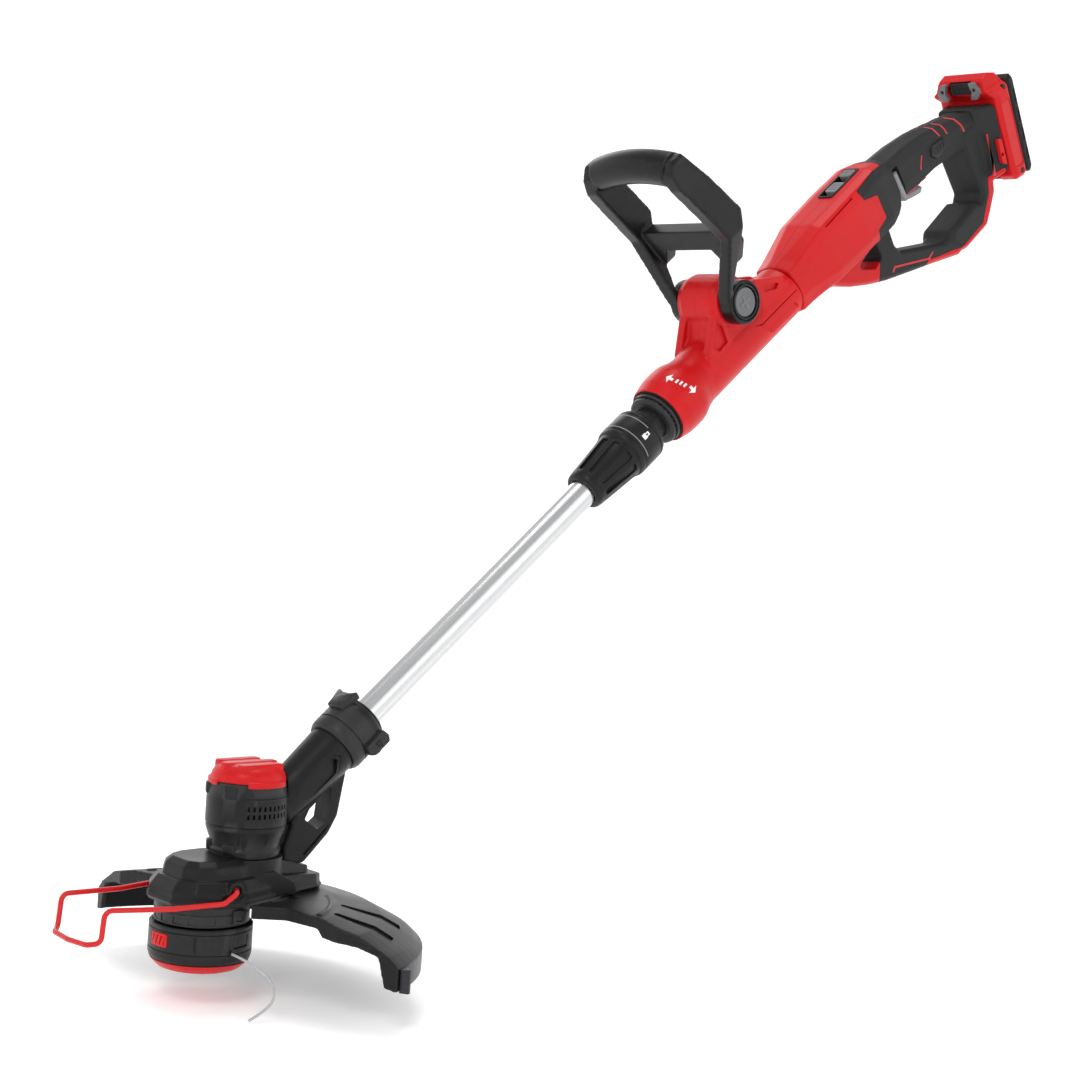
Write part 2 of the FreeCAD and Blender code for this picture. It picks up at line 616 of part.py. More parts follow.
def dome_form(shrink):
    lower = loft([rounded_wire(grown(DOME_PLAN, -shrink), 3, plan_point(57)),
                  rounded_wire(grown(DOME_PLAN, -0.5 - shrink), 3, plan_point(68)),
                  rounded_wire(grown(DOME_PLAN, -8 - shrink), 2, plan_point(78))])
    roof = slab([(-80, 40), (-80, 76 - shrink), (30, 76 - shrink), (130, 66 - shrink), (130, 40)], -70, 70)
    upper = loft([rounded_wire(grown(DOME_PLAN, -4.5 - shrink), 2, plan_point(60)),
                  rounded_wire(grown(DOME_PLAN, -6.5 - shrink), 2, plan_point(80)),
                  rounded_wire(grown(DOME_PLAN, -13 - shrink), 2, plan_point(93))])
    peak = slab([(-80, 40), (-80, 88 - shrink), (20, 90 - shrink), (60, 84 - shrink), (100, 73 - shrink),
                 (100, 40)], -70, 70)
    return lower.common(roof).fuse(upper.common(peak))


def make_dome():
    dome = dome_form(0).cut(dome_form(2.5).fuse(rod(50, 60, 33, "z")))
    dome = dome.cut(rod(80, 120, 24.9, "z", (MOTOR_X, 0)))
    dome = dome.cut(cross_rod(GUIDE_PIVOT[0], GUIDE_PIVOT[1], -60, 60, GUIDE_WIRE_RADIUS + 0.06))
    keep("dome", dome, in_head)
    inner = GEAR_CASE_RADIUS - 2.5
    case = ring(41.5, 56.9, GEAR_CASE_RADIUS, inner, "z").fuse(ring(54, 56.9, inner + 1, 11.1, "z"))
    case = case.fuse(ring(49.5, 55, 13.5, 11.02, "z"))
    keep("gear_case", case, in_head)


def polar(radius, angle):
    return radius * cos(radians(angle)), radius * sin(radians(angle))


def make_guard():
    near, far = GUARD_NEAR_TIP, GUARD_FAR_TIP
    arc = [polar(GUARD_RADIUS, near + (far - near) * step / 16) for step in range(17)]
    front = [polar(120, far + 3), polar(70, far - 4), (12, 46), (60, 38), (60, -38), (12, -46),
             polar(70, near + 4), polar(120, near - 3)]
    plan = arc + front
    top = turned([(0, 0), (59, 0), (59, 60), (57, 105), (50, 135), (37, 160), (28, 170), (0, 170)], "z")
    under = turned([(-1, 0), (56, 0), (56, 60), (54, 105), (47, 135), (34, 160), (25, 170), (-1, 170)], "z")
    lip = turned([(-1, 0), (49, 0), (49, 100), (43, 106), (41, 135), (36, 152), (14, 158), (11, 172),
                  (-1, 172)], "z")
    block = slab(plan, 0, 100, 0.0, plan_point)
    room = slab(grown(plan, -3.0), -10, 100, 0.0, plan_point)
    guard = block.common(top).cut(lip).cut(room.common(under))
    guard = guard.cut(rod(0, 100, GEAR_CASE_RADIUS + 0.3, "z"))
    guard = guard.cut(slab(grown(DOME_PLAN, 0.3), 56.9, 120, 0, plan_point))
    keep("debris_guard", guard, in_head)
    tip = near + 1
    root = GUARD_RADIUS + 0.2
    blade = [polar(root, tip), polar(176, tip + 1), polar(176, tip + 8), polar(root, tip + 9)]
    keep("line_cutter", slab(blade, 11, 30, 1.0, plan_point), in_head)


# --- edge-guide wire ---------------------------------------------------------------------------------------
GUIDE_ROUTE = [(GUIDE_PIVOT[0], -34, GUIDE_PIVOT[1]), (GUIDE_PIVOT[0], -44, GUIDE_PIVOT[1]), (-10, -43, 62),
               (-50, -37, 61), (-103, -30, 63.5), (-105, -30, 40), (-112, -22, 38), (-114, 0, 37.5)]


def rounded_path(points, reach):
    """A path of straight runs joined by arcs of a radius, or of the largest that the runs allow."""
    edges = []
    last = Vector(*points[0])
    for index in range(1, len(points) - 1):
        here = Vector(*points[index])
        back = Vector(*points[index - 1]) - here
        ahead = Vector(*points[index + 1]) - here
        half = back.getAngle(ahead) / 2
        cut = min(reach / tan(half), 0.45 * back.Length, 0.45 * ahead.Length)
        back.normalize()
        ahead.normalize()
        bisector = back + ahead
        bisector.normalize()
        start = here + back * cut
        end = here + ahead * cut
        middle = here + bisector * (cut / cos(half) - cut * tan(half))
        edges.append(Part.LineSegment(last, start).toShape())
        edges.append(Part.Arc(start, middle, end).toShape())
        last = end
    edges.append(Part.LineSegment(last, Vector(*points[-1])).toShape())
    return Part.Wire(edges)


def pipe(path, radius, start, heading):
    profile = Part.Wire(Part.makeCircle(radius, start, heading))
    return path.makePipeShell([profile], True, True)


def make_edge_guide():
    mirrored = [(x, -y, z) for x, y, z in reversed(GUIDE_ROUTE[:-1])]
    route = GUIDE_ROUTE + mirrored
    path = rounded_path(route, 6.0)
    keep("edge_guide", pipe(path, GUIDE_WIRE_RADIUS, Vector(*route[0]), Vector(0, 1, 0)), in_head)


# --- spool -------------------------------------------------------------------------------------------------
LINE_EXIT_Z = 22.5
TAB_ANGLE = 184.0


def tab_form(side, margin):
    """One release tab in the cap wall, in front (side 1) or opposite it (side -1)."""
    form = ring(25 - margin, 35 + margin, SPOOL_CAP_RADIUS + 0.6, SPOOL_CAP_RADIUS - 2.5 - margin, "z")
    form = form.common(box((0, 60), (-9 - margin, 9 + margin), (0, 60)))
    form.rotate(Vector(0, 0, 0), Vector(0, 0, 1), TAB_ANGLE if side > 0 else TAB_ANGLE + 180)
    return form


def make_spool():
    r = SPOOL_CAP_RADIUS
    top = SPOOL_CAP_TOP
    cap = turned([(10, 0), (10, 33), (13.5, 37), (13.5, 37.8), (17, r), (top, r), (top, r - 2.5),
                  (17, r - 2.5), (14, 35), (12.5, 32), (12.5, 0)], "z")
    cap = cap.cut(Part.makeCylinder(2.6, 10, Vector(2, -r - 4, LINE_EXIT_Z), Vector(0, 1, 0)))
    for side in (-1, 1):
        cap = cap.cut(tab_form(side, 0.3))
    keep("spool_cap", cap, in_head)
    plate = turned([(5.5, 0), (5.5, 28), (7, 32), (13.4, 37.4), (13.4, 36.9), (9.9, 33), (9.9, 29),
                    (7.5, 27), (7.5, 0)], "z")
    keep("glide_plate", plate, in_head)
    wall = r - 3.0
    housing = ring(37, 39.5, wall, 4.0, "z").fuse(ring(34, 38, 7, 4.0, "z"))
    housing = housing.fuse(ring(18, 38, wall, wall - 1.6, "z"))
    housing = housing.cut(Part.makeCylinder(3.0, 14, Vector(2, -r - 4, LINE_EXIT_Z), Vector(0, 1, 0)))
    for side in (-1, 1):
        housing = housing.cut(tab_form(side, 2.0))
    keep("spool_housing", housing, in_head)
    spool = ring(13, 33, 16, 4.6, "z").fuse(ring(13, 15, 28, 4.6, "z")).fuse(ring(31, 33, 31, 4.6, "z"))
    keep("line_spool", spool, in_head)
    keep("wound_line", ring(15.1, 30.9, 28, 16.1, "z"), in_head)
    for side, name in ((1, "front"), (-1, "rear")):
        keep(f"release_tab_{name}", tab_form(side, 0.0), in_head)
    eyelet = Part.makeCylinder(2.5, 5.0, Vector(2, -r - 1, LINE_EXIT_Z), Vector(0, 1, 0))
    eyelet = eyelet.cut(Part.makeCylinder(1.1, 8, Vector(2, -r - 2, LINE_EXIT_Z), Vector(0, 1, 0)))
    keep("line_eyelet", eyelet, in_head)


# The trimmer line leaves the eyelet and curls down and under the spool.
LINE_ROUTE = [(2, -34, 22.5), (2.1, -47, 22.4), (6.5, -64, 18.3), (12, -77, 10.5), (12.5, -83.5, -1),
              (4, -81, -11.5), (-4.5, -75, -18)]


def arc_radius(points, index):
    """The largest radius that the two runs at a corner allow."""
    here = Vector(*points[index])
    back = Vector(*points[index - 1]) - here
    ahead = Vector(*points[index + 1]) - here
    return 0.45 * min(back.Length, ahead.Length) * tan(back.getAngle(ahead) / 2)


def make_line():
    radii = [arc_radius(LINE_ROUTE, index) for index in range(1, len(LINE_ROUTE) - 1)]
    print("line arc radii", [round(radius, 1) for radius in radii])
    path = rounded_path(LINE_ROUTE, max(radii))
    first = Vector(*LINE_ROUTE[1]) - Vector(*LINE_ROUTE[0])
    keep("trimmer_line", pipe(path, LINE_RADIUS, Vector(*LINE_ROUTE[0]), first), in_head)


STEPS = (make_front_barrel, make_handle, make_trigger, make_lock_off, make_sliders, make_dock,
         make_battery, make_aux_handle, make_coupling, make_lock_collar, make_lower_tube, make_neck,
         make_motor, make_gears, make_dome, make_guard, make_edge_guide, make_spool, make_line)

for step in STEPS:
    step()

os.makedirs("parts", exist_ok=True)
for name, shape in nodes.items():
    shape.exportStep(f"parts/{name}.step")
    print(name, len(shape.Solids), round(shape.Volume / 1000, 1), shape.isValid())
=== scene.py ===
import bpy
import bmesh
import json
from math import atan2, ceil, cos, pi, radians, sin, sqrt, tan
from mathutils import Matrix, Vector


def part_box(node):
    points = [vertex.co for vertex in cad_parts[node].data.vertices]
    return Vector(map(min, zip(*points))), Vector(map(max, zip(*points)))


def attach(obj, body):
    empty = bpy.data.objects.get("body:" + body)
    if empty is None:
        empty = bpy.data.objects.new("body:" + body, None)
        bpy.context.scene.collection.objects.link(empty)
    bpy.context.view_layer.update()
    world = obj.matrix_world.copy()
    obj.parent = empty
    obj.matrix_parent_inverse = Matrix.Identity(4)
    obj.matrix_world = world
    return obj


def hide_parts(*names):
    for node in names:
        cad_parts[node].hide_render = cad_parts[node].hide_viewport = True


# Cordless string trimmer. Shapes are drawn in millimetres in one of three working frames and then placed
# in the row frame in metres:
#   shaft frame  X up the shaft from the head clamp ("station"), Z the height above the shaft's axis
#   head frame   Z up the spool's axis, X back, origin on the ground line just under the glide plate
#   dock frame   Z up along the face that the battery slides on, X out of it
# In all three -Y is the tool's left side.

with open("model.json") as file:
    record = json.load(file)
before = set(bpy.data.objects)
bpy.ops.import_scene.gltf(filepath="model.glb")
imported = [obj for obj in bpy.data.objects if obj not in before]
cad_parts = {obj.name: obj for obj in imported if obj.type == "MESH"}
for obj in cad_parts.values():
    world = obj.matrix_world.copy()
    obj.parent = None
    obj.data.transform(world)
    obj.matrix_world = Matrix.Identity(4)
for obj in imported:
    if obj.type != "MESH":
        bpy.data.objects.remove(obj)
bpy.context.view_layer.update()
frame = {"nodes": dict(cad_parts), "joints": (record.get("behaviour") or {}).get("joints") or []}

MM = 0.001
GRIP_STATION = 810.0
GLIDE_HEIGHT = 5.5
MOTOR_X = 35.0


# --- working frames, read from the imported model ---
def joint_named(name):
    return next(joint for joint in frame["joints"] if joint["name"] == name)


def frame_from(origin, x_axis, z_axis):
    """Matrix from a working frame in millimetres to the row frame in metres."""
    x_axis = Vector(x_axis).normalized()
    z_axis = Vector(z_axis).normalized()
    y_axis = z_axis.cross(x_axis)
    turn = Matrix((x_axis, y_axis, z_axis)).transposed().to_4x4()
    return Matrix.Translation(origin) @ turn @ Matrix.Scale(MM, 4)


shaft_axis = Vector(joint_named("shaft_telescope")["axis"])
shaft_up = Vector((-shaft_axis.z, 0, shaft_axis.x))
SHAFT = frame_from(shaft_axis * (-GRIP_STATION * MM), shaft_axis, shaft_up)

plate_low, plate_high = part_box("glide_plate")
spool_x = (plate_low[0] + plate_high[0]) / 2
HEAD = frame_from((spool_x, 0, plate_low[2] - GLIDE_HEIGHT * MM), (1, 0, 0), (0, 0, 1))

dock_up = Vector(joint_named("battery_slide")["axis"])
dock_out = Vector((dock_up.z, 0, -dock_up.x))
DOCK_FOOT = (907.5, 0, -75)
DOCK = frame_from(SHAFT @ Vector(DOCK_FOOT), dock_out, dock_up)


# the two shells of a moulding, a seam's width apart, and the two sides of the tool
SEAM = 0.12
HALVES = (("left", -60, -SEAM), ("right", SEAM, 60))
SIDES = ((-1, "left"), (1, "right"))


# --- mesh tools ---
def made(name, verts, faces):
    """A new closed mesh object with its faces turned outward."""
    mesh = bpy.data.meshes.new(name)
    mesh.from_pydata([tuple(v) for v in verts], [], faces)
    work = bmesh.new()
    work.from_mesh(mesh)
    bmesh.ops.remove_doubles(work, verts=work.verts, dist=1e-4)
    bmesh.ops.recalc_face_normals(work, faces=work.faces)
    work.to_mesh(mesh)
    work.free()
    piece = bpy.data.objects.new(name, mesh)
    bpy.context.collection.objects.link(piece)
    return piece


def side(a, b, h):
    """An outline's point seen from the side; plan and across are from above and from behind."""
    return (a, h, b)


def plan(a, b, h):
    return (a, b, h)


def across(a, b, h):
    return (h, a, b)


def rounded(points, radius, steps=4):
    """Closed outline with its corners rounded as far as the sides allow."""
    if radius <= 0:
        return [Vector(p) for p in points]
    out = []
    count = len(points)
    for index in range(count):
        here = Vector(points[index])
        back = Vector(points[index - 1]) - here
        ahead = Vector(points[(index + 1) % count]) - here
        half = back.angle(ahead) / 2
        if half > radians(86):
            out.append(here)
            continue
        cut = min(radius / tan(half), 0.45 * back.length, 0.45 * ahead.length)
        first = here + back.normalized() * cut
        last = here + ahead.normalized() * cut
        for step in range(steps + 1):
            t = step / steps
            out.append(first * (1 - t) ** 2 + here * (2 * t * (1 - t)) + last * t ** 2)
    return out


def prism(points, low, high, place=side, radius=0.0):
    """A flat outline given thickness."""
    outline = rounded(points, radius)
    count = len(outline)
    verts = [place(p[0], p[1], low) for p in outline] + [place(p[0], p[1], high) for p in outline]
    faces = [[i, (i + 1) % count, count + (i + 1) % count, count + i] for i in range(count)]
    faces += [list(range(count)), list(range(2 * count - 1, count - 1, -1))]
    return made("prism", verts, faces)


def skin(rings, closed=False):
    """A closed skin over rings with equal numbers of points, capped at both ends unless it meets itself."""
    count = len(rings[0])
    verts = [p for ring in rings for p in ring]
    faces = []
    spans = len(rings) if closed else len(rings) - 1
    for r in range(spans):
        s = (r + 1) % len(rings)
        for i in range(count):
            j = (i + 1) % count
            faces.append([r * count + i, r * count + j, s * count + j, s * count + i])
    if not closed:
        faces += [list(range(count)), [len(verts) - count + i for i in range(count)][::-1]]
    return made("skin", verts, faces)


def flank(points, sign, near, far, radius=0.0):
    """A prism on one side of the tool, between two distances from its middle plane."""
    low, high = sorted((sign * near, sign * far))
    return prism(points, low, high, side, radius)


def box(x, y, z):
    """A block between two limits along each axis."""
    return prism([(x[0], z[0]), (x[1], z[0]), (x[1], z[1]), (x[0], z[1])], y[0], y[1])


def lathe(profile, axis="x", centre=(0.0, 0.0), segments=96):
    """A solid of revolution from (distance along the axis, radius) points, closed on the axis."""
    rings = []
    for step in range(segments):
        angle = 2 * pi * step / segments
        ring = []
        for along, radius in profile:
            a, b = radius * cos(angle), radius * sin(angle)
            flat = (centre[0] + a, centre[1] + b)
            ring.append((along, *flat) if axis == "x" else (*flat, along))
        rings.append(ring)
    return skin(rings, closed=True)


def circle(a, b, radius, segments):
    """Points round a circle."""
    turns = [2 * pi * i / segments for i in range(segments)]
    return [(a + radius * cos(turn), b + radius * sin(turn)) for turn in turns]


def cross_rod(x, z, low, high, radius, segments=64):
    """A rod across the tool."""
    return prism(circle(x, z, radius, segments), low, high)


def upright_rod(x, y, low, high, radius, segments=48):
    """A rod along a frame's Z."""
    return prism(circle(x, y, radius, segments), low, high, plan)


def evaluated(piece):
    """Bake a piece's modifiers into its mesh."""
    graph = bpy.context.evaluated_depsgraph_get()
    mesh = bpy.data.meshes.new_from_object(piece.evaluated_get(graph))
    old = piece.data
    piece.modifiers.clear()
    piece.data = mesh
    bpy.data.meshes.remove(old)
    return piece


def combined(piece, others, how):
    for other in others:
        mod = piece.modifiers.new("cut", "BOOLEAN")
        mod.operation = how
        mod.solver = "MANIFOLD"
        mod.object = other
        evaluated(piece)
        bpy.data.objects.remove(other)
    return piece


def joined(piece, *others):
    return combined(piece, others, "UNION")


def cut(piece, *others):
    return combined(piece, others, "DIFFERENCE")


def kept(piece, *others):
    return combined(piece, others, "INTERSECT")


def copied(piece):
    """A second piece with its own mesh."""
    twin = piece.copy()
    twin.data = piece.data.copy()
    bpy.context.collection.objects.link(twin)
    return twin


def softened(piece, voxel, rounds):
    """Blend a moulding's edges: remesh at the voxel size in millimetres, then smooth."""
    mod = piece.modifiers.new("remesh", "REMESH")
    mod.mode = "VOXEL"
    mod.voxel_size = voxel
    mod = piece.modifiers.new("smooth", "SMOOTH")
    mod.factor = 0.5
    mod.iterations = rounds
    return evaluated(piece)


def smooth_shaded(piece, angle=35):
    """Smooth shading with edges sharper than the angle left crisp."""
    mesh = piece.data
    for polygon in mesh.polygons:
        polygon.use_smooth = True
    mesh.set_sharp_from_angle(angle=radians(angle))
    return piece


def bevelled(piece, width, segments=2, angle=30):
    """Round the edges that are sharper than the angle."""
    mod = piece.modifiers.new("bevel", "BEVEL")
    mod.width = width
    mod.segments = segments
    mod.limit_method = "ANGLE"
    mod.angle_limit = radians(angle)
    return evaluated(piece)


def tube(points, radius, segments):
    """A round bar along a smooth run of points."""
    rings = []
    count = len(points)
    spots = [Vector(p) for p in points]
    normal = None
    for index, spot in enumerate(spots):
        heading = spots[min(index + 1, count - 1)] - spots[max(index - 1, 0)]
        heading.normalize()
        if normal is None:
            normal = heading.orthogonal().normalized()
        normal = (normal - heading * normal.dot(heading)).normalized()
        other = heading.cross(normal)
        ring = []
        for step in range(segments):
            angle = 2 * pi * step / segments
            ring.append(spot + normal * (radius * cos(angle)) + other * (radius * sin(angle)))
        rings.append(ring)
    return skin(rings)


def finished(piece, name, place, body, material, replaces=()):
    """Place a piece in the row frame, give it its name, material and body."""
    piece.name = name
    piece.data.name = name
    piece.data.transform(place)
    piece.data.materials.clear()
    piece.data.materials.append(material)
    smooth_shaded(piece)
    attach(piece, body)
    if replaces:
        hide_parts(*replaces)
    return piece


# --- materials ---
def graph_of(name):
    """A new material with a shader, and the parts of its node tree that the looks are built on."""
    material = bpy.data.materials.new(name)
    material.use_nodes = True
    nodes, links = material.node_tree.nodes, material.node_tree.links
    nodes.clear()
    shader = nodes.new("ShaderNodeBsdfPrincipled")
    output = nodes.new("ShaderNodeOutputMaterial")
    links.new(shader.outputs["BSDF"], output.inputs["Surface"])
    coords = nodes.new("ShaderNodeTexCoord")
    return material, nodes, links, shader, coords


def noise(nodes, links, coords, scale, detail=3.0, roughness=0.5, stretch=None):
    """Noise over the object, drawn out along a turned axis where a stretch (rotation, sizes) is given."""
    texture = nodes.new("ShaderNodeTexNoise")
    texture.inputs["Scale"].default_value = scale
    texture.inputs["Detail"].default_value = detail
    texture.inputs["Roughness"].default_value = roughness
    source = coords.outputs["Object"]
    if stretch is not None:
        mapping = nodes.new("ShaderNodeMapping")
        mapping.vector_type = "TEXTURE"
        mapping.inputs["Rotation"].default_value = stretch[0]
        mapping.inputs["Scale"].default_value = stretch[1]
        links.new(source, mapping.inputs["Vector"])
        source = mapping.outputs["Vector"]
    links.new(source, texture.inputs["Vector"])
    return texture.outputs["Fac"]


def spread(nodes, links, value, low, high, start=0.3, end=0.7):
    """Map a texture value to a range."""
    ranged = nodes.new("ShaderNodeMapRange")
    ranged.inputs["From Min"].default_value = start
    ranged.inputs["From Max"].default_value = end
    ranged.inputs["To Min"].default_value = low
    ranged.inputs["To Max"].default_value = high
    links.new(value, ranged.inputs["Value"])
    return ranged.outputs["Result"]


def mixed(nodes, links, factor, first, second):
    """Mix two colours, or sockets that carry colours."""
    mix = nodes.new("ShaderNodeMix")
    mix.data_type = "RGBA"
    links.new(factor, mix.inputs["Factor"])
    for socket, value in ((mix.inputs["A"], first), (mix.inputs["B"], second)):
        if isinstance(value, tuple):
            socket.default_value = (*value, 1.0)
        else:
            links.new(value, socket)
    return mix.outputs["Result"]


def shade(color, factor):
    """A colour made lighter or darker."""
    return tuple(min(c * factor, 1.0) for c in color)


def plastic(name, color, roughness, grain=1400.0, depth=0.00003, wear=0.25, specular=0.5):
    """Moulded plastic: fine spark-eroded grain, slow tone drift and paler rubbed edges."""
    material, nodes, links, shader, coords = graph_of(name)
    drift = noise(nodes, links, coords, 18.0, 4.0)
    fine = noise(nodes, links, coords, grain, 2.0, 0.6)
    base = mixed(nodes, links, spread(nodes, links, drift, 0.0, 1.0), shade(color, 0.93), shade(color, 1.06))
    geometry = nodes.new("ShaderNodeNewGeometry")
    edge = spread(nodes, links, geometry.outputs["Pointiness"], 0.0, wear, 0.52, 0.62)
    pale = tuple(c + (1.0 - c) * 0.16 for c in color)
    links.new(mixed(nodes, links, edge, base, pale), shader.inputs["Base Color"])
    links.new(spread(nodes, links, drift, roughness - 0.05, roughness + 0.06), shader.inputs["Roughness"])
    bump = nodes.new("ShaderNodeBump")
    bump.inputs["Distance"].default_value = depth
    bump.inputs["Strength"].default_value = 0.8
    links.new(fine, bump.inputs["Height"])
    links.new(bump.outputs["Normal"], shader.inputs["Normal"])
    shader.inputs["Specular IOR Level"].default_value = specular
    return material


def metal(name, color, roughness, stretch=None, streak=0.08, scale=90.0):
    """Bare metal with drawn or turned streaks."""
    material, nodes, links, shader, coords = graph_of(name)
    shader.inputs["Metallic"].default_value = 1.0
    lines = noise(nodes, links, coords, scale, 5.0, 0.65, stretch)
    tone = mixed(nodes, links, spread(nodes, links, lines, 0.0, 1.0), shade(color, 0.82), shade(color, 1.12))
    links.new(tone, shader.inputs["Base Color"])
    links.new(spread(nodes, links, lines, roughness, roughness + streak), shader.inputs["Roughness"])
    bump = nodes.new("ShaderNodeBump")
    bump.inputs["Distance"].default_value = 0.00001
    links.new(lines, bump.inputs["Height"])
    links.new(bump.outputs["Normal"], shader.inputs["Normal"])
    return material


SHAFT_TURN = (0.0, -atan2(shaft_axis.z, shaft_axis.x), 0.0)
RED = plastic("red_plastic", (0.54, 0.006, 0.008), 0.36, depth=0.00002, wear=0.12, specular=0.2)
RED_ACCENT = plastic("red_accent_plastic", (0.50, 0.010, 0.012), 0.42, depth=0.00002, specular=0.22)
OVERMOULD = plastic("dark_overmould", (0.021, 0.0215, 0.0225), 0.52, 900.0, 0.00006, 0.12, 0.16)
BLACK = plastic("black_plastic", (0.0075, 0.0075, 0.0085), 0.36, 1100.0, 0.00003, 0.12, 0.2)
GLOSS_BLACK = plastic("grip_black", (0.0065, 0.0065, 0.0075), 0.3, 500.0, 0.00003, 0.1, 0.24)
GREY = plastic("grey_plastic", (0.20, 0.205, 0.21), 0.38, 1200.0, 0.00003)
MID_GREY = plastic("mid_grey_plastic", (0.12, 0.125, 0.13), 0.42, 1200.0, 0.00003)
WHITE = plastic("white_print", (0.82, 0.82, 0.82), 0.5, 1800.0, 0.00001, 0.0)
TUBE_METAL = metal("drawn_aluminium", (0.66, 0.665, 0.67), 0.15, (SHAFT_TURN, (12.0, 0.1, 0.1)), 0.2, 12.0)
STEEL = metal("bright_steel", (0.62, 0.62, 0.64), 0.26, None, 0.12, 400.0)
COPPER = metal("copper_winding", (0.72, 0.36, 0.2), 0.34, (SHAFT_TURN, (0.033, 0.033, 0.0025)), 0.15, 8.0)
WIRE_PAINT = plastic("red_wire_paint", (0.56, 0.008, 0.010), 0.24, 300.0, 0.00003, 0.2, 0.35)
NYLON = plastic("white_nylon", (0.40, 0.41, 0.43), 0.3, 700.0, 0.00002, 0.0)
NATURAL = plastic("natural_nylon", (0.62, 0.59, 0.5), 0.45, 900.0, 0.00003)
CIRCUIT = plastic("green_board", (0.03, 0.16, 0.06), 0.4, 250.0, 0.00006)
CELL_WRAP = plastic("blue_cell_wrap", (0.04, 0.16, 0.36), 0.3, 300.0, 0.00002)
DARK_STEEL = metal("dark_steel", (0.045, 0.045, 0.05), 0.36, None, 0.1, 300.0)


# --- camera, floor and lights ---
VIEW_LENS = 73.33
VIEW_POINT = Vector((-1.7047, -1.3693, -0.2765))
VIEW_AZIMUTH = radians(42.5)
VIEW_DROP = radians(3.1)
VIEW_ROLL = radians(4.0)


def make_camera():
    data = bpy.data.cameras.new("camera")
    data.lens = VIEW_LENS
    camera = bpy.data.objects.new("camera", data)
    bpy.context.collection.objects.link(camera)
    ahead = Vector((sin(VIEW_AZIMUTH) * cos(VIEW_DROP), cos(VIEW_AZIMUTH) * cos(VIEW_DROP), -sin(VIEW_DROP)))
    level = Vector((cos(VIEW_AZIMUTH), -sin(VIEW_AZIMUTH), 0))
    up = level.cross(ahead)
    right = level * cos(VIEW_ROLL) + up * sin(VIEW_ROLL)
    up = up * cos(VIEW_ROLL) - level * sin(VIEW_ROLL)
    turn = Matrix((right, up, -ahead)).transposed().to_4x4()
    camera.matrix_world = Matrix.Translation(VIEW_POINT) @ turn
    bpy.context.scene.camera = camera


FLOOR_DROP = 20.0
FLOOR_GLOW = 0.33
STUDIO_RADIUS = 6.0
STUDIO_CURVE = 2.0
STUDIO_HEIGHT = 4.0
STUDIO_STEPS = 12
STUDIO_SEGMENTS = 96


def pale_floor():
    """Near-white paper with a barely visible tone drift and a little glow, so that it stays even."""
    material, nodes, links, shader, coords = graph_of("pale_floor")
    drift = noise(nodes, links, coords, 1.5, 2.0)
    tone = mixed(nodes, links, spread(nodes, links, drift, 0.0, 1.0), (0.90, 0.90, 0.90), (0.92, 0.92, 0.92))
    links.new(tone, shader.inputs["Base Color"])
    links.new(tone, shader.inputs["Emission Color"])
    shader.inputs["Emission Strength"].default_value = FLOOR_GLOW
    shader.inputs["Roughness"].default_value = 0.85
    shader.inputs["Specular IOR Level"].default_value = 0.1
    return material


def make_studio():
    """A pale floor that curves up into a wall all round."""
    floor = HEAD.translation.z - FLOOR_DROP * MM
    centre = Vector((HEAD.translation.x / 2, 0, floor))
    profile = [(0.01, 0.0), (1.0, 0.0), (2.5, 0.0), (STUDIO_RADIUS - STUDIO_CURVE, 0.0)]
    for step in range(1, STUDIO_STEPS + 1):
        angle = radians(90) * step / STUDIO_STEPS
        out = STUDIO_RADIUS - STUDIO_CURVE + STUDIO_CURVE * sin(angle)
        profile.append((out, STUDIO_CURVE - STUDIO_CURVE * cos(angle)))
    profile.append((STUDIO_RADIUS, STUDIO_HEIGHT))
    verts = []
    segments = STUDIO_SEGMENTS
    for radius, height in profile:
        for step in range(segments):
            angle = 2 * pi * step / segments
            verts.append(centre + Vector((radius * cos(angle), radius * sin(angle), height)))
    faces = []
    for r in range(len(profile) - 1):
        for i in range(segments):
            j = (i + 1) % segments
            faces.append([r * segments + i, r * segments + j, (r + 1) * segments + j,
                          (r + 1) * segments + i])
    faces.append(list(range(segments))[::-1])
    mesh = bpy.data.meshes.new("studio_floor")
    mesh.from_pydata([tuple(v) for v in verts], [], faces)
    for polygon in mesh.polygons:
        polygon.use_smooth = True
    studio = bpy.data.objects.new("studio_floor", mesh)
    bpy.context.collection.objects.link(studio)
    mesh.materials.append(pale_floor())


def area_light(name, place, aim, size, power):
    """A white rectangular light that faces a point."""
    data = bpy.data.lights.new(name, "AREA")
    data.shape = "RECTANGLE"
    data.size, data.size_y = size
    data.energy = power
    light = bpy.data.objects.new(name, data)
    bpy.context.collection.objects.link(light)
    light.location = place
    light.rotation_euler = (Vector(aim) - Vector(place)).to_track_quat("-Z", "Y").to_euler()


HORIZON = (0.68, 0.68, 0.68)
CEILING = (0.58, 0.58, 0.585)


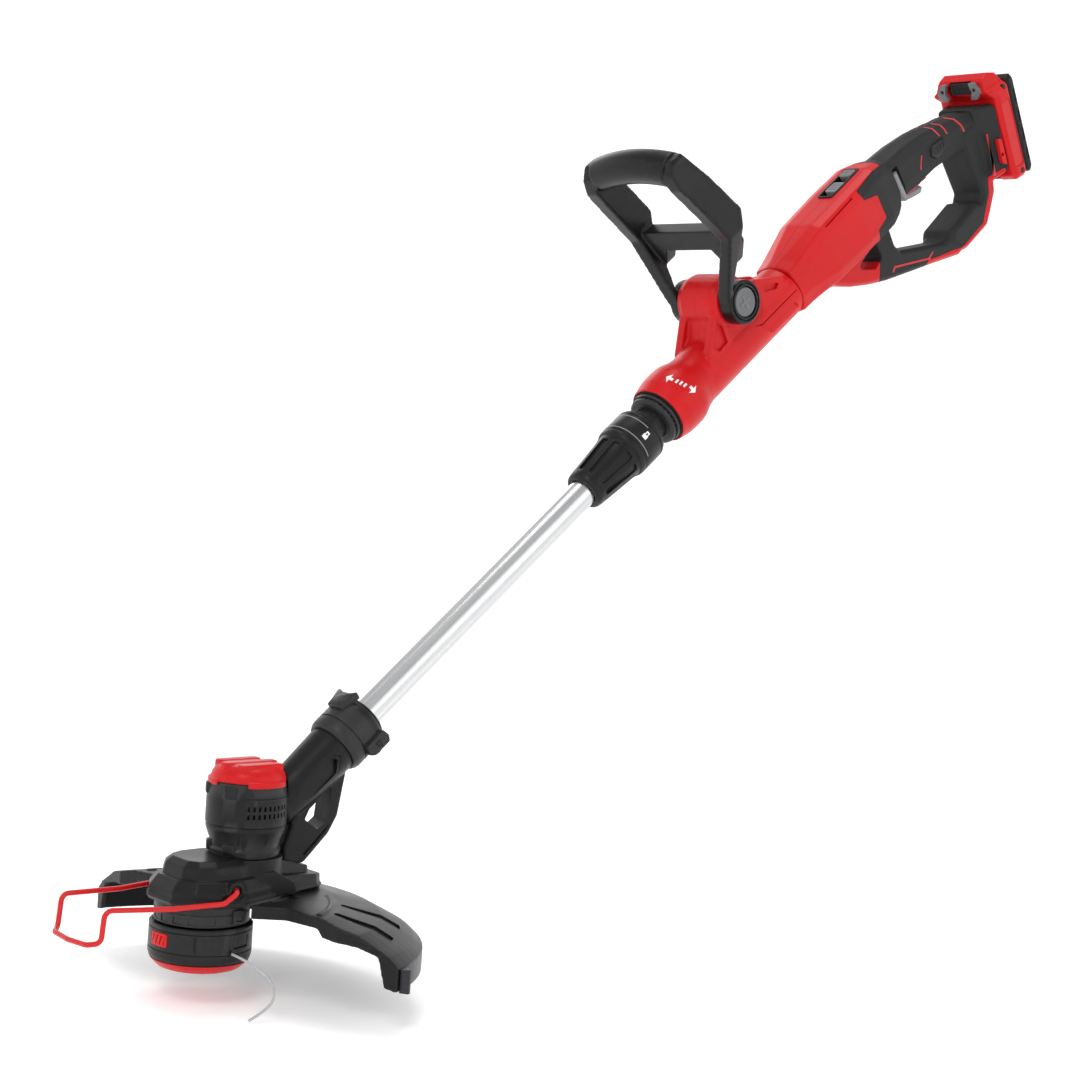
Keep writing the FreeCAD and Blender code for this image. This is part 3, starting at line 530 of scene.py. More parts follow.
def make_lights():
    aim = (-0.45, 0.0, -0.35)
    area_light("key", (-2.6, -1.2, 1.9), aim, (1.0, 1.0), 24.0)
    area_light("fill", (0.6, -2.6, 0.9), aim, (1.8, 1.8), 7.0)
    area_light("top", (-0.3, 0.3, 2.6), aim, (1.2, 1.2), 22.0)
    area_light("rim", (0.4, 2.6, 1.3), aim, (1.6, 1.6), 13.0)
    world = bpy.data.worlds.new("studio")
    world.use_nodes = True
    nodes, links = world.node_tree.nodes, world.node_tree.links
    height = nodes.new("ShaderNodeSeparateXYZ")
    links.new(nodes.new("ShaderNodeTexCoord").outputs["Generated"], height.inputs["Vector"])
    sky = mixed(nodes, links, spread(nodes, links, height.outputs["Z"], 0.0, 1.0, 0.35, 0.75), HORIZON,
                CEILING)
    links.new(sky, nodes["Background"].inputs["Color"])
    bpy.context.scene.world = world
    bpy.context.scene.view_settings.view_transform = "Standard"


make_camera()
make_studio()
make_lights()


# --- the handle: main housing, overmoulded grip and bar, red trim ---
BARREL_END = 588.0
WALL = 3.0
BODY_STATIONS = (
    # station, half width, top, bottom, corner radius
    (588, 25.5, 25.5, -25.5, 20),
    (600, 25.8, 27.5, -25.2, 19),
    (612, 26.2, 30.0, -25.0, 17),
    (643, 28.0, 36.5, -26.5, 13),
    (694, 28.0, 38.0, -27.5, 12),
    (737, 26.0, 38.5, -28.0, 12),
    (752, 22.5, 35.0, -26.0, 12),
    (762, 19.5, 31.0, -23.0, 12),
)
GRIP_STATIONS = (
    (752, 18.8, 31.0, -22.0, 14),
    (775, 18.3, 29.5, -20.5, 15),
    (797, 17.8, 28.0, -22.0, 15),
    (829, 17.0, 22.5, -23.0, 14),
    (853, 16.8, 15.5, -26.5, 13),
    (895, 18.0, 3.0, -33.0, 12),
)
KEEL = [(610, -10), (608, -20), (622, -22), (638, -27), (650, -37), (662, -46), (684, -58.5), (708, -70),
        (770, -94), (815, -112), (864, -110), (868, -94), (812, -87), (799, -87), (740, -57), (736, -48),
        (738, -25), (748, -18), (748, 0), (640, 0)]
COLUMN = [(899, -10), (873, -10), (873, -78), (866, -84), (857, -79), (812, -82), (804, -91), (814, -107),
          (824, -111), (864, -110), (876, -101), (892, -88), (897, -77)]
LOOP_OPENING = [(675, -35), (695, -31), (711.5, -30), (712, -46), (698, -50)]
DOCK_RISE = 80.0
DOCK_FRONT = ((886.5, -76.0), (898.0, 4.0), 21.0)
DOCK_BACK = ((907.5, -75.0), (921.0, -4.0), 32.0)
RED_REGION = [(560, -90), (699, -90), (697.5, -60.5), (708, -46), (709, -13.5), (726, -10.5), (726, 15),
              (706, 22), (703, 33.5), (735, 35.3), (752, 31.5), (752, 60), (560, 60)]
TRIM = [(771, -86), (775, -90), (815, -104), (857, -102), (865, -95), (880, -83), (887, -68), (905, -68),
        (905, -95), (870, -130), (800, -130), (760, -110), (764, -92)]


def section(station, half, top, bottom, radius, shrink):
    """One ring of the handle: a rounded box across the shaft."""
    half, top, bottom = half - shrink, top - shrink, bottom + shrink
    corners = [(-half, bottom), (half, bottom), (half, top), (-half, top)]
    return [(station, p[0], p[1]) for p in rounded(corners, max(radius - shrink, 3), 2)]


def lofted(stations, shrink=0.0):
    """A skin through the stations, drawn in by a distance."""
    return skin([section(*row, shrink) for row in stations])


def outline_grown(points, distance):
    """The outline moved outward by a distance, corner by corner."""
    count = len(points)
    area = sum(points[i - 1][0] * points[i][1] - points[i][0] * points[i - 1][1] for i in range(count))
    turn = 1 if area > 0 else -1
    moved = []
    for i in range(count):
        a, b, c = Vector(points[i - 1]), Vector(points[i]), Vector(points[(i + 1) % count])
        n1 = Vector((b.y - a.y, a.x - b.x)).normalized()
        n2 = Vector((c.y - b.y, b.x - c.x)).normalized()
        moved.append(tuple(b + (n1 + n2) * (turn * distance / (1 + n1.dot(n2)))))
    return moved


def pillow(points, half, bevel, radius=3.0):
    """A slab whose outer edges are chamfered all round."""
    outer = rounded(points, radius)
    inner = rounded(outline_grown(points, -bevel), radius)
    rings = []
    for outline, level in ((inner, -half), (outer, bevel - half), (outer, half - bevel), (inner, half)):
        rings.append([side(p[0], p[1], level) for p in outline])
    return skin(rings)


def dock_form():
    """The block that the battery slides on, widening toward the back."""
    rings = []
    for (low_x, low_z), (high_x, high_z), half in (DOCK_FRONT, DOCK_BACK):
        corners = [(-half, 0.0), (half, 0.0), (half, DOCK_RISE), (-half, DOCK_RISE)]
        ring = []
        for y, rise in rounded(corners, 7.0, 3):
            t = rise / DOCK_RISE
            ring.append((low_x + (high_x - low_x) * t, y, low_z + (high_z - low_z) * t))
        rings.append(ring)
    return skin(rings)


def handle_body():
    whole = lofted(BODY_STATIONS)
    column = pillow(COLUMN, 20.0, 4.0)
    whole = joined(whole, lofted(GRIP_STATIONS), pillow(KEEL, 15.5, 3.5), column, dock_form())
    whole = cut(whole, prism(LOOP_OPENING, -60, 60, side, 4.0))
    scoop = [(640, -34), (652, -33), (705, -29.5), (705, -24), (640, -24)]
    for sign in (-1, 1):
        whole = cut(whole, prism(scoop, sign * 17.0, sign * 60.0, side, 3.0))
    whole = softened(whole, 1.1, 7)
    hollow = lofted(BODY_STATIONS[1:], WALL)
    hollow = joined(hollow, lofted(GRIP_STATIONS[1:-1], WALL))
    return cut(whole, hollow)


SLIDER = (686.0, 736.0)
LOCK_OFF = [(823, -3.5), (828, 5), (850, 1.5), (852.5, -8), (830, -11)]
TRIGGER_WINDOW = [(764.5, 17.2), (773.5, 17.2), (774.5, -17.5), (803, -24.5), (808.5, -23), (808.5, -40),
                  (764.5, -40)]
SIDE_SLOT = [(648, 29.4), (694, 31.2), (694, 33.2), (648, 31.4)]
DOCK_GROOVE = [(898, -26), (901, -26), (891, -70), (886, -66), (893.5, -56)]


def handle_cuts():
    """Everything that the shells are pierced or engraved by."""
    start, end = SLIDER
    tools = [prism([(start, -9.5), (end, -9.5), (end, 9.5), (start, 9.5)], 30.5, 50.0, plan, 4.0),
             prism(TRIGGER_WINDOW, -11.6, 11.6, side, 1.5),
             prism([(764.5, 17.2), (773.8, 17.2), (775.5, -40), (764.5, -40)], -30, 30, side, 1.0)]
    for sign in (-1, 1):
        tools.append(flank(LOCK_OFF, sign, 11.5, 30.0, 2.0))
        tools.append(flank(SIDE_SLOT, sign, 24.2, 40.0, 0.9))
        tools.append(flank(DOCK_GROOVE, sign, 27.0, 40.0, 1.0))
    return tools


def handle_shells():
    whole = cut(handle_body(), *handle_cuts())
    red = kept(copied(whole), prism(outline_grown(RED_REGION, -0.25), -60, 60, side, 2.0))
    trim = kept(copied(whole), prism(outline_grown(TRIM, -0.2), -60, 60, side, 1.5))
    dark = cut(whole, prism(outline_grown(RED_REGION, 0.15), -60, 60, side, 2.0),
               prism(outline_grown(TRIM, 0.15), -60, 60, side, 1.5))
    finished(trim, "lower_trim_band", SHAFT, "handle", RED, ["lower_trim"])
    for label, low, high in HALVES:
        room = ((500, 1000), (low, high), (-200, 200))
        half = kept(copied(red), box(*room))
        finished(half, f"main_housing_shell_{label}", SHAFT, "handle", RED,
                 [f"main_housing_{label}"])
        half = kept(copied(dark), box(*room))
        finished(half, f"rear_handle_shell_{label}", SHAFT, "handle", OVERMOULD,
                 [f"rear_handle_{label}"])
    bpy.data.objects.remove(red)
    bpy.data.objects.remove(dark)


handle_shells()


# --- front barrel: collar, barrel and the yoke of the auxiliary handle ---
COLLAR_LIP = 395.0
BARREL_RADIUS = 25.4
TUBE_BORE = 16.0
AUX_PIVOT = (509.0, 43.0)
YOKE_RADIUS = 25.0
BARREL_RIBS = ([(455, 0), (459, 19), (486, 46), (490, 40), (489, 0)],
               [(540, 0), (540, 42), (546, 42), (576, 25), (578, 0)])
BARREL_POCKETS = ([(466, 22), (472, 15), (485, 16), (487, 33), (482, 38)],
                  [(549, 34), (549, 26), (564, 19), (570, 22)])


def around(station, angle, radius):
    """A point on a cylinder about the shaft, its angle in degrees from the top toward the left side."""
    return (station, -radius * sin(radians(angle)), radius * cos(radians(angle)))


def band(start, end, first, last, inner, outer, step=4.0):
    """A strip wrapped round the shaft between two angles."""
    count = max(int(ceil((last - first) / step)), 1)
    rings = []
    for i in range(count + 1):
        angle = first + (last - first) * i / count
        rings.append([around(start, angle, inner), around(start, angle, outer), around(end, angle, outer),
                      around(end, angle, inner)])
    return skin(rings)


def yoke_web():
    x, z = AUX_PIVOT
    turns = [radians(angle) for angle in range(190, -20, -15)]
    crown = [(x + YOKE_RADIUS * cos(turn), z + YOKE_RADIUS * sin(turn)) for turn in turns]
    foot = [(560, 27.0), (584, 20.0), (584, 0), (450, 0), (455, 16.0), (476, 27.0)]
    web = pillow(crown + foot, 21.0, 3.0)
    return joined(web, cross_rod(x, z, -24.4, 24.4, 22.5, 48))


def front_barrel():
    c = COLLAR_LIP
    profile = [(c, 0), (c, 27.9), (c + 4, 28.6), (c + 12, 30.4), (c + 20, 31.0), (c + 30, 31.0),
               (c + 35, 30.0), (c + 44, 27.0), (c + 52, 25.6), (530, BARREL_RADIUS),
               (BARREL_END - 0.3, BARREL_RADIUS), (BARREL_END - 0.3, 0)]
    whole = joined(lathe(profile), yoke_web())
    for sign in (-1, 1):
        for rib in BARREL_RIBS:
            whole = joined(whole, flank(rib, sign, 14.0, 22.5, 1.5))
    whole = softened(whole, 1.0, 6)
    for sign in (-1, 1):
        for pocket in BARREL_POCKETS:
            whole = cut(whole, flank(pocket, sign, 20.0, 60.0, 2.0))
        whole = cut(whole, flank([(531, -1), (577, -4), (582, -15), (545, -14), (534, -8)], sign, 22.6, 60.0,
                                 2.0))
        whole = cut(whole, flank([(520, 8), (528, 4), (584, 4), (584, 5), (529, 5.2), (521, 9.2)], sign,
                                 23.2, 60.0))
    bore = lathe([(c - 1, 0), (c - 1, 26.8), (c + 20, 26.8), (c + 20, TUBE_BORE), (600, TUBE_BORE),
                  (600, 0)])
    room = lathe([(475.5, 0), (475.5, 21.5), (555.5, 21.5), (555.5, 0)])
    x, z = AUX_PIVOT
    return cut(whole, bore, room, cross_rod(x, z, -60, 60, 6.1))


def front_barrel_shells():
    whole = front_barrel()
    for label, low, high in HALVES:
        half = kept(copied(whole), box((300, 700), (low, high), (-200, 200)))
        finished(half, f"front_barrel_shell_{label}", SHAFT, "handle", RED,
                 [f"front_barrel_{label}"])
    bpy.data.objects.remove(whole)
    marks = [prism([(414, 20), (408.5, 27), (412.5, 27), (412.5, 33), (415.5, 33), (415.5, 27), (419.5, 27)],
                   29.0, 31.15, around),
             prism([(420, 74), (414.5, 67), (418.5, 67), (418.5, 61), (421.5, 61), (421.5, 67), (425.5, 67)],
                   30.0, 31.15, around)]
    for index in range(3):
        marks.append(band(413.0 + index, 417.5 + index, 38.0 + 7 * index, 41.5 + 7 * index, 30.0, 31.12))
    for index, mark in enumerate(marks):
        finished(mark, f"collar_mark_{index}", SHAFT, "handle", WHITE)


front_barrel_shells()


# --- release ring, lock collar and head clamp ---
def release_ring():
    profile = [(385, 16.1), (385, 21.5), (386.5, 23.6), (388.6, 24.0), (388.6, 21.6), (390.4, 21.6),
               (390.4, 24.9), (392.8, 25.2), (392.8, 22.4), (394.6, 22.4), (394.6, 26.0), (406, 26.0),
               (406, 16.1)]
    ring = lathe(profile)
    for index in range(30):
        angle = 12.0 * index
        ring = joined(ring, band(388.0, 395.2, angle, angle + 2.4, 20.0, 23.8, 1.2))
    finished(bevelled(ring, 0.25, 1, 50), "release_ring_moulding", SHAFT, "release_ring", BLACK,
             ["release_sleeve"])


def flute(angle):
    """One tapering finger recess of the lock collar."""
    outline = rounded([(294, -3.0), (333, -4.2), (333, 4.2), (294, 3.0)], 3.0, 6)
    count = len(outline)
    floor = [(p.x, p.y, 15.8 + (p.x - 294) * 0.112) for p in outline]
    roof = [(p.x, p.y, 40.0) for p in outline]
    tool = made("flute", floor + roof, [[i, (i + 1) % count, count + (i + 1) % count,
                                         count + i] for i in range(count)]
                + [list(range(count)), list(range(2 * count - 1, count - 1, -1))])
    tool.data.transform(Matrix.Rotation(radians(angle), 4, "X"))
    return tool


def lock_collar():
    profile = [(285, 13.15), (285, 16.2), (286.5, 17.6), (290, 18.4), (312, 20.4), (334, 22.4),
               (337.5, 22.8), (338.5, 24.2), (340.5, 24.9), (343, 25.0), (343, 24.6), (344, 24.6),
               (344, 25.0), (365, 25.0), (365, 24.6), (366, 24.6), (366, 25.0), (368.5, 24.7), (371, 23.4),
               (371.5, 22.4), (371.5, 17.0), (330, 17.0), (308, 15.1), (308, 13.15)]
    body = lathe(profile, segments=120)
    body = cut(body, *[flute(36.0 * index) for index in range(10)])
    finished(bevelled(body, 0.35, 2, 40), "lock_collar_moulding", SHAFT, "shaft_lock", BLACK,
             ["lock_collar"])
    finished(band(346.4, 347.2, -70, 105, 24.6, 25.1), "collar_line_low", SHAFT, "shaft_lock", GREY)
    finished(band(362.0, 362.8, -70, 60, 24.6, 25.1), "collar_line_high", SHAFT, "shaft_lock", GREY)
    lock = joined(band(352.0, 356.2, 62, 73, 24.6, 25.12), band(356.0, 359.4, 63.5, 65.5, 24.6, 25.12),
                  band(356.0, 359.4, 69.5, 71.5, 24.6, 25.12), band(358.4, 359.8, 63.5, 71.5, 24.6, 25.12))
    finished(lock, "collar_lock_mark", SHAFT, "shaft_lock", WHITE)


def head_clamp():
    profile = [(-42, 20.85), (-42, 22.4), (-39.5, 24.0), (-37, 24.6), (-31, 24.6), (-31, 23.8),
               (-29.5, 23.8), (-29.5, 24.6), (-16, 24.6), (-12, 24.0), (-8.5, 22.6), (-8, 22.0), (-8, 20.85)]
    ring = lathe(profile)
    tab = prism([(-22, -8), (-22, 8), (-14, 9.5), (-6, 12), (-3.5, 11), (-6, 5), (-6, -5), (-3.5, -11),
                 (-6, -12), (-14, -9.5)], 21.5, 27.4, plan, 1.5)
    lug = prism([(-30, -14), (-30, -6), (-9, -5), (-7, -12), (-9, -17), (-26, -17)], -27.2, -18.0, side, 2.0)
    knob = upright_rod(-14, -6, -28.5, -20, 4.6, 32)
    screw = cross_rod(-18, -11.5, -28.2, -20, 3.0, 24)
    ring = joined(ring, bevelled(tab, 1.0), bevelled(lug, 0.8), bevelled(knob, 0.6), bevelled(screw, 0.4))
    ring = cut(ring, lathe([(-60, 0), (-60, 20.85), (20, 20.85), (20, 0)]),
               box((-19, -17), (-30, -27.4), (-14, -9)))
    finished(bevelled(ring, 0.3, 2, 45), "head_clamp_moulding", SHAFT, "cutting_end", BLACK,
             ["clamp_ring"])


release_ring()
lock_collar()
head_clamp()


# --- auxiliary handle ---
ARM_SIDE = [(491, 26), (491, 50), (502, 112), (477, 178), (477, 192), (484, 203), (499, 203), (529, 128),
            (529, 26)]
ARM_FRONT_LEFT = [(25, 20), (39, 20), (39, 56), (62.5, 114), (60, 170), (52, 206), (30, 213), (30, 190),
                  (44, 182), (48.5, 112), (25, 58)]
ARM_FRONT_RIGHT = [(25, 20), (36, 20), (36, 46), (62.5, 112), (60, 170), (52, 206), (30, 213), (30, 190),
                   (44, 182), (48.5, 114), (25, 56)]
BRACE = [(-52, 118), (52, 118), (56, 100), (44, 80), (36, 84), (27, 99), (-27, 99), (-36, 84), (-44, 80),
         (-56, 100)]
ARCH_RADIUS = 173.0
GRIP_CENTRE = (491.5, 196.0)


def arch_points(half_angle, steps=16):
    x, z = GRIP_CENTRE
    spots = []
    for step in range(steps + 1):
        angle = radians(half_angle * (2 * step / steps - 1))
        spots.append((x, ARCH_RADIUS * sin(angle), z - ARCH_RADIUS * (1 - cos(angle))))
    return spots


def aux_arm(front, sign):
    x, z = AUX_PIVOT
    outline = [p for p in ARM_SIDE if p[1] > 40]
    disc = [(x + 19.0 * cos(radians(a)), z + 19.0 * sin(radians(a))) for a in range(-20, -180, -20)]
    arm = prism(outline + [(491, 44)] + disc[::-1] + [(529, 44)], -80, 80, side, 4.0)
    return kept(arm, prism([(sign * y, h) for y, h in front], 400, 600, across, 6.0))


def aux_handle():
    x, z = AUX_PIVOT
    left = joined(aux_arm(ARM_FRONT_LEFT, -1), cross_rod(x, z, -39.5, -25.0, 20.0, 48))
    right = joined(aux_arm(ARM_FRONT_RIGHT, 1), cross_rod(x, z, 25.0, 35.5, 20.0, 48))
    brace = prism(BRACE, 507, 523, across, 2.0)
    frame_piece = joined(left, right, brace, tube(arch_points(17.5), 13.0, 24))
    frame_piece = softened(frame_piece, 1.1, 8)
    frame_piece = cut(frame_piece, cross_rod(x, z, -60, 60, 6.15), cross_rod(x, z, -60, -30.9, 13.9),
                      cross_rod(x, z, 33.05, 60, 10.3), cross_rod(x, z, -26, 26, 25.0))
    groove = cut(cross_rod(x, z, -60, -37.3, 17.2), cross_rod(x, z, -61, -37.0, 15.9))
    frame_piece = cut(frame_piece, groove)
    finished(frame_piece, "aux_frame_moulding", SHAFT, "aux_handle", GLOSS_BLACK,
             ["aux_frame"])
    grip = tube(arch_points(14.6, 40), 15.0, 48)
    finished(bevelled(grip, 2.0, 4, 50), "aux_grip_sleeve", SHAFT, "aux_handle", GLOSS_BLACK,
             ["aux_grip"])
    button = lathe([(0, 0), (0, 13.4), (3.6, 13.4), (4.6, 12.6), (4.9, 11.4), (4.5, 10.6), (4.3, 0)])
    button = joined(button, box((4.0, 4.9), (-1.3, 1.3), (-6.5, 6.5)))
    button = joined(button, box((4.0, 4.9), (-6.5, 6.5), (-1.3, 1.3)))
    button.data.transform(Matrix.Translation((x, -34.0, z)) @ Matrix.Rotation(radians(-90), 4, "Z"))
    finished(button, "aux_button_cap", SHAFT, "aux_lock", MID_GREY, ["aux_button"])


aux_handle()


# --- battery and the bracket on the dock ---
BATTERY_SIDE = [(0.5, -5), (6, -11), (20, -11), (23.4, -8), (23.4, 84), (17, 98), (6, 102), (-4, 98),
                (-9, 84), (-3, 79), (0.5, 76)]
BATTERY_BASE = [(23.9, -9), (23.9, 88), (32, 92), (36, 86), (36, -6), (32, -12)]
BATTERY_HALF = 36.5
BATTERY_SCREWS = ((14.0, -4.0), (14.0, 84.0))


def battery():
    case = pillow(BATTERY_SIDE, BATTERY_HALF, 4.0, 4.0)
    for sign in (-1, 1):
        shoulder = prism([(sign * 24, 110), (sign * 30, 88), (sign * 60, 70), (sign * 60, 120)], -40, 60,
                         across, 2.0)
        case = cut(case, shoulder)
    case = softened(case, 0.9, 5)
    pocket = prism([(-13, 80), (13, 80), (16, 88), (13, 97.5), (-13, 97.5), (-16, 88)], -30, 1.0, across,
                   1.0)
    room = joined(box((4, 22.4), (-33, 33), (-8, 75)), box((-1, 10), (-17, 17), (-20, 60)))
    case = cut(case, pocket, room)
    for sign in (-1, 1):
        for x, z in BATTERY_SCREWS:
            low, high = sorted((sign * (BATTERY_HALF - 3.2), sign * 60.0))
            case = cut(case, cross_rod(x, z, low, high, 2.9, 32))
        case = cut(case, flank([(4, 2), (19, 2), (19, 70), (4, 70)], sign, BATTERY_HALF - 1.2, 60.0, 3.0))
        label = prism([(4.6, 2.6), (18.4, 2.6), (18.4, 69.4), (4.6, 69.4)], sign * (BATTERY_HALF - 1.25),
                      sign * (BATTERY_HALF - 0.7), side, 2.6)
        finished(label, f"battery_panel_{'left' if sign < 0 else 'right'}", DOCK, "battery", RED)
    finished(case, "battery_case_moulding", DOCK, "battery", RED, ["battery_case"])
    base = pillow(BATTERY_BASE, 34.0, 2.5, 2.5)
    base = softened(base, 0.9, 4)
    base = cut(base, box((30.2, 60), (-7, 7), (26, 42)))
    for index in range(9):
        z = 50 + 4.0 * index
        base = cut(base, prism([(34.8, z), (40, z), (40, z + 1.6), (34.8, z + 1.6)], -24, 24))
    for sign in (-1, 1):
        for index in range(4):
            z = 2 + 20.0 * index
            base = cut(base, flank([(27, z), (33, z), (33, z + 13), (27, z + 13)], sign, 33.0, 40.0, 1.5))
    finished(base, "battery_base_moulding", DOCK, "battery", BLACK, ["battery_base"])
    for sign, label in SIDES:
        cheek = prism([(sign * 16.2, 88), (sign * 13.4, 80.4), (sign * 20, 80), (sign * 26, 87),
                       (sign * 20, 97), (sign * 13.6, 97.2)], -11.2, -7.2, across, 1.0)
        hole = lathe([(-14, 0), (-14, 2.1), (-6, 2.1), (-6, 0)], "x", (sign * 19.2, 90.0), 32)
        finished(bevelled(cut(cheek, hole), 0.5), f"latch_cheek_{label}", DOCK, "battery", MID_GREY)


def battery_latch():
    latch = prism([(-12.4, 84.8), (12.4, 84.8), (13.6, 88.5), (12.4, 96.2), (-12.4, 96.2), (-13.6, 88.5)],
                  -6.5, -1.5, across, 1.2)
    for index in range(4):
        z = 86.6 + 2.4 * index
        latch = cut(latch, box((-8, -5.7), (-9.5, 9.5), (z, z + 1.1)))
    finished(bevelled(latch, 0.4, 2, 50), "battery_latch_cap", DOCK, "battery_catch", BLACK,
             ["battery_latch"])
    gauge = prism([(-6.2, 28.2), (6.2, 28.2), (6.2, 39.8), (-6.2, 39.8)], 32.0, 36.4, across, 2.0)
    finished(bevelled(gauge, 0.5), "gauge_button_cap", DOCK, "battery_gauge", MID_GREY,
             ["gauge_button"])
    for index in range(3):
        lamp = box((36.0, 36.5), (10.5, 13.5), (27 + 5 * index, 30 + 5 * index))
        finished(bevelled(lamp, 0.2), f"gauge_lamp_{index}", DOCK, "battery", WHITE)


def dock_trim():
    """The red strip in the dock's groove and the red bracket, one on each side."""
    for sign, label in SIDES:
        strip = flank(outline_grown(DOCK_GROOVE, -0.4), sign, 26.6, 27.8, 0.8)
        finished(strip, f"dock_strip_{label}", SHAFT, "handle", RED_ACCENT)
        plate = flank([(905.5, -36), (911, -39), (906, -66), (900.5, -60)], sign, 29.0, 33.4, 1.5)
        plate = cut(plate, cross_rod(904.5, -53, -40, 40, 1.9, 24))
        finished(bevelled(plate, 0.6), f"dock_bracket_{label}", SHAFT, "handle", RED)


battery()
battery_latch()
dock_trim()


# --- trigger, buttons, slider and the grip's red lines ---
TRIGGER = [(765.6, 12.2), (773, 12.2), (774.3, -16.5), (803, -23.2), (806, -27), (801, -30.5), (790, -28),
           (779, -25), (770.5, -19), (766.5, -8), (768, 2)]
BAR_LINE = [(716, -66.5), (718.5, -67.5), (722.5, -65.4), (770, -87.6), (779, -85.6), (779.5, -83.8),
            (770, -85.6), (722, -63)]
GRIP_TICK = [(806.5, 0), (811, 5), (812.5, 4), (808.3, 0), (804, -6.5), (802.4, -5.8)]
PADDLE = [(765.6, 12.2), (773, 12.2), (774.2, -19), (770.5, -21), (766.5, -10)]
LINE_LIFT = 0.35
WINDOW_EDGE = [(774.8, -15), (803, -19.4), (810, -18), (811, -26), (801, -26), (774.8, -20)]


def trigger():
    blade = joined(pillow(TRIGGER, 10.8, 2.2, 1.5), pillow(PADDLE, 17.2, 1.6, 1.0))
    finished(softened(blade, 0.5, 4), "trigger_blade", SHAFT, "trigger_lever", GREY,
             ["trigger"])


def lock_off():
    outline = outline_grown(LOCK_OFF, -0.5)
    button = prism(outline, -18.9, 18.9, side, 2.0)
    for sign in (-1, 1):
        for index in range(3):
            x = 833 + 5.0 * index
            button = cut(button, flank([(x, -6), (x + 1.4, -6), (x + 2.6, 0.5), (x + 1.2, 0.5)], sign, 18.3,
                                       25.0))
    finished(bevelled(button, 0.7, 3, 40), "lock_off_cap", SHAFT, "lock_off", OVERMOULD,
             ["lock_off_button"])


def sliders():
    start, end = SLIDER
    bezel = prism([(start + 0.3, -9.2), (end - 0.3, -9.2), (end - 0.3, 9.2), (start + 0.3, 9.2)], 33.0, 39.0,
                  plan, 3.8)
    bezel = cut(bezel, prism([(start + 2.2, -7.2), (end - 2.2, -7.2), (end - 2.2, 7.2), (start + 2.2, 7.2)],
                             20, 60, plan, 2.2))
    finished(bevelled(bezel, 0.5), "slider_bezel", SHAFT, "handle", BLACK)
    speed = prism([(start + 10.5, -6.8), (start + 26.5, -6.8), (start + 26.5, 6.8), (start + 10.5, 6.8)],
                  32.0, 38.6, plan, 2.5)
    for index in range(4):
        x = start + 13.2 + 3.2 * index
        speed = cut(speed, box((x, x + 1.4), (-5, 5), (37.8, 45)))
    finished(bevelled(speed, 0.5, 2, 50), "speed_slider_cap", SHAFT, "speed_control", GREY,
             ["speed_slider"])
    feed = prism([(end - 15.0, -6.8), (end - 3.0, -6.8), (end - 3.0, 6.8), (end - 15.0, 6.8)], 33.9, 39.6,
                 plan, 3.0)
    feed = cut(feed, prism([(end - 11, -2.5), (end - 7, -2.5), (end - 7, 2.5), (end - 11, 2.5)], 39.2, 50,
                           plan, 1.0))
    finished(bevelled(feed, 0.6, 2, 50), "feed_button_cap", SHAFT, "line_feed_control", MID_GREY,
             ["feed_button"])


def stripe(name, points, width, reach):
    """A thin red line laid over the overmould: its path seen from the side, for both sides."""
    left, right = [], []
    for index, point in enumerate(points):
        before = Vector(points[max(index - 1, 0)])
        after = Vector(points[min(index + 1, len(points) - 1)])
        heading = (after - before).normalized()
        normal = Vector((-heading.y, heading.x)) * width / 2
        left.append(tuple(Vector(point) + normal))
        right.append(tuple(Vector(point) - normal))
    outline = left + right[::-1]
    for sign, label in SIDES:
        skin_room = lofted(GRIP_STATIONS, -LINE_LIFT)
        finished(kept(flank(outline, sign, 5.0, reach), skin_room), f"{name}_{label}", SHAFT, "handle",
                 RED_ACCENT)


def grip_lines():
    stripe("grip_line_rear", [(864, 16), (872, 12), (877, 5), (880, -3), (881, -14)], 2.0, 40)
    stripe("grip_line_middle", [(852, 19), (856, 12), (857.5, 6), (857, 1)], 1.8, 40)
    stripe("grip_line_front", [(842, 20), (845, 12), (846.5, 5)], 1.8, 40)
    for sign, label in SIDES:
        edge = kept(flank(WINDOW_EDGE, sign, 11.7, 14.2, 0.8), lofted(GRIP_STATIONS, -0.5))
        finished(edge, f"trigger_rim_{label}", SHAFT, "handle", RED_ACCENT)
        line = flank(BAR_LINE, sign, 14.8, 15.8, 0.5)
        finished(line, f"bar_line_{label}", SHAFT, "handle", RED_ACCENT)
        tick = kept(flank(GRIP_TICK, sign, 16.0, 20.0, 0.6), lofted(GRIP_STATIONS, -LINE_LIFT))
        finished(tick, f"grip_tick_{label}", SHAFT, "handle", RED_ACCENT)


trigger()
lock_off()
sliders()
grip_lines()


# --- neck ---
TO_HEAD = HEAD.inverted() @ SHAFT
MOTOR_RADIUS = 31.0
DOME_PLAN = [(-38, -16), (-28, -32), (-10, -40), (14, -40), (50, -29), (96, -14), (104, -8), (104, 8),
             (96, 14), (50, 29), (14, 40), (-10, 40), (-28, 32), (-38, 16)]
RIB = [(122, 152), (122.5, 145), (117, 113), (109, 99), (87, 78), (66, 74), (66, 91), (74, 113), (80, 124),
       (90, 134), (106, 148)]
RIB_OPENING = [(109, 138), (106, 110), (97, 103.5), (84, 112), (88, 120)]
NECK_PANEL = [(-98, 0), (-90, 7.5), (-60, 10), (-53, 2), (-60, -7), (-90, -7.5)]


def moved(piece, matrix):
    piece.data.transform(matrix)
    return piece


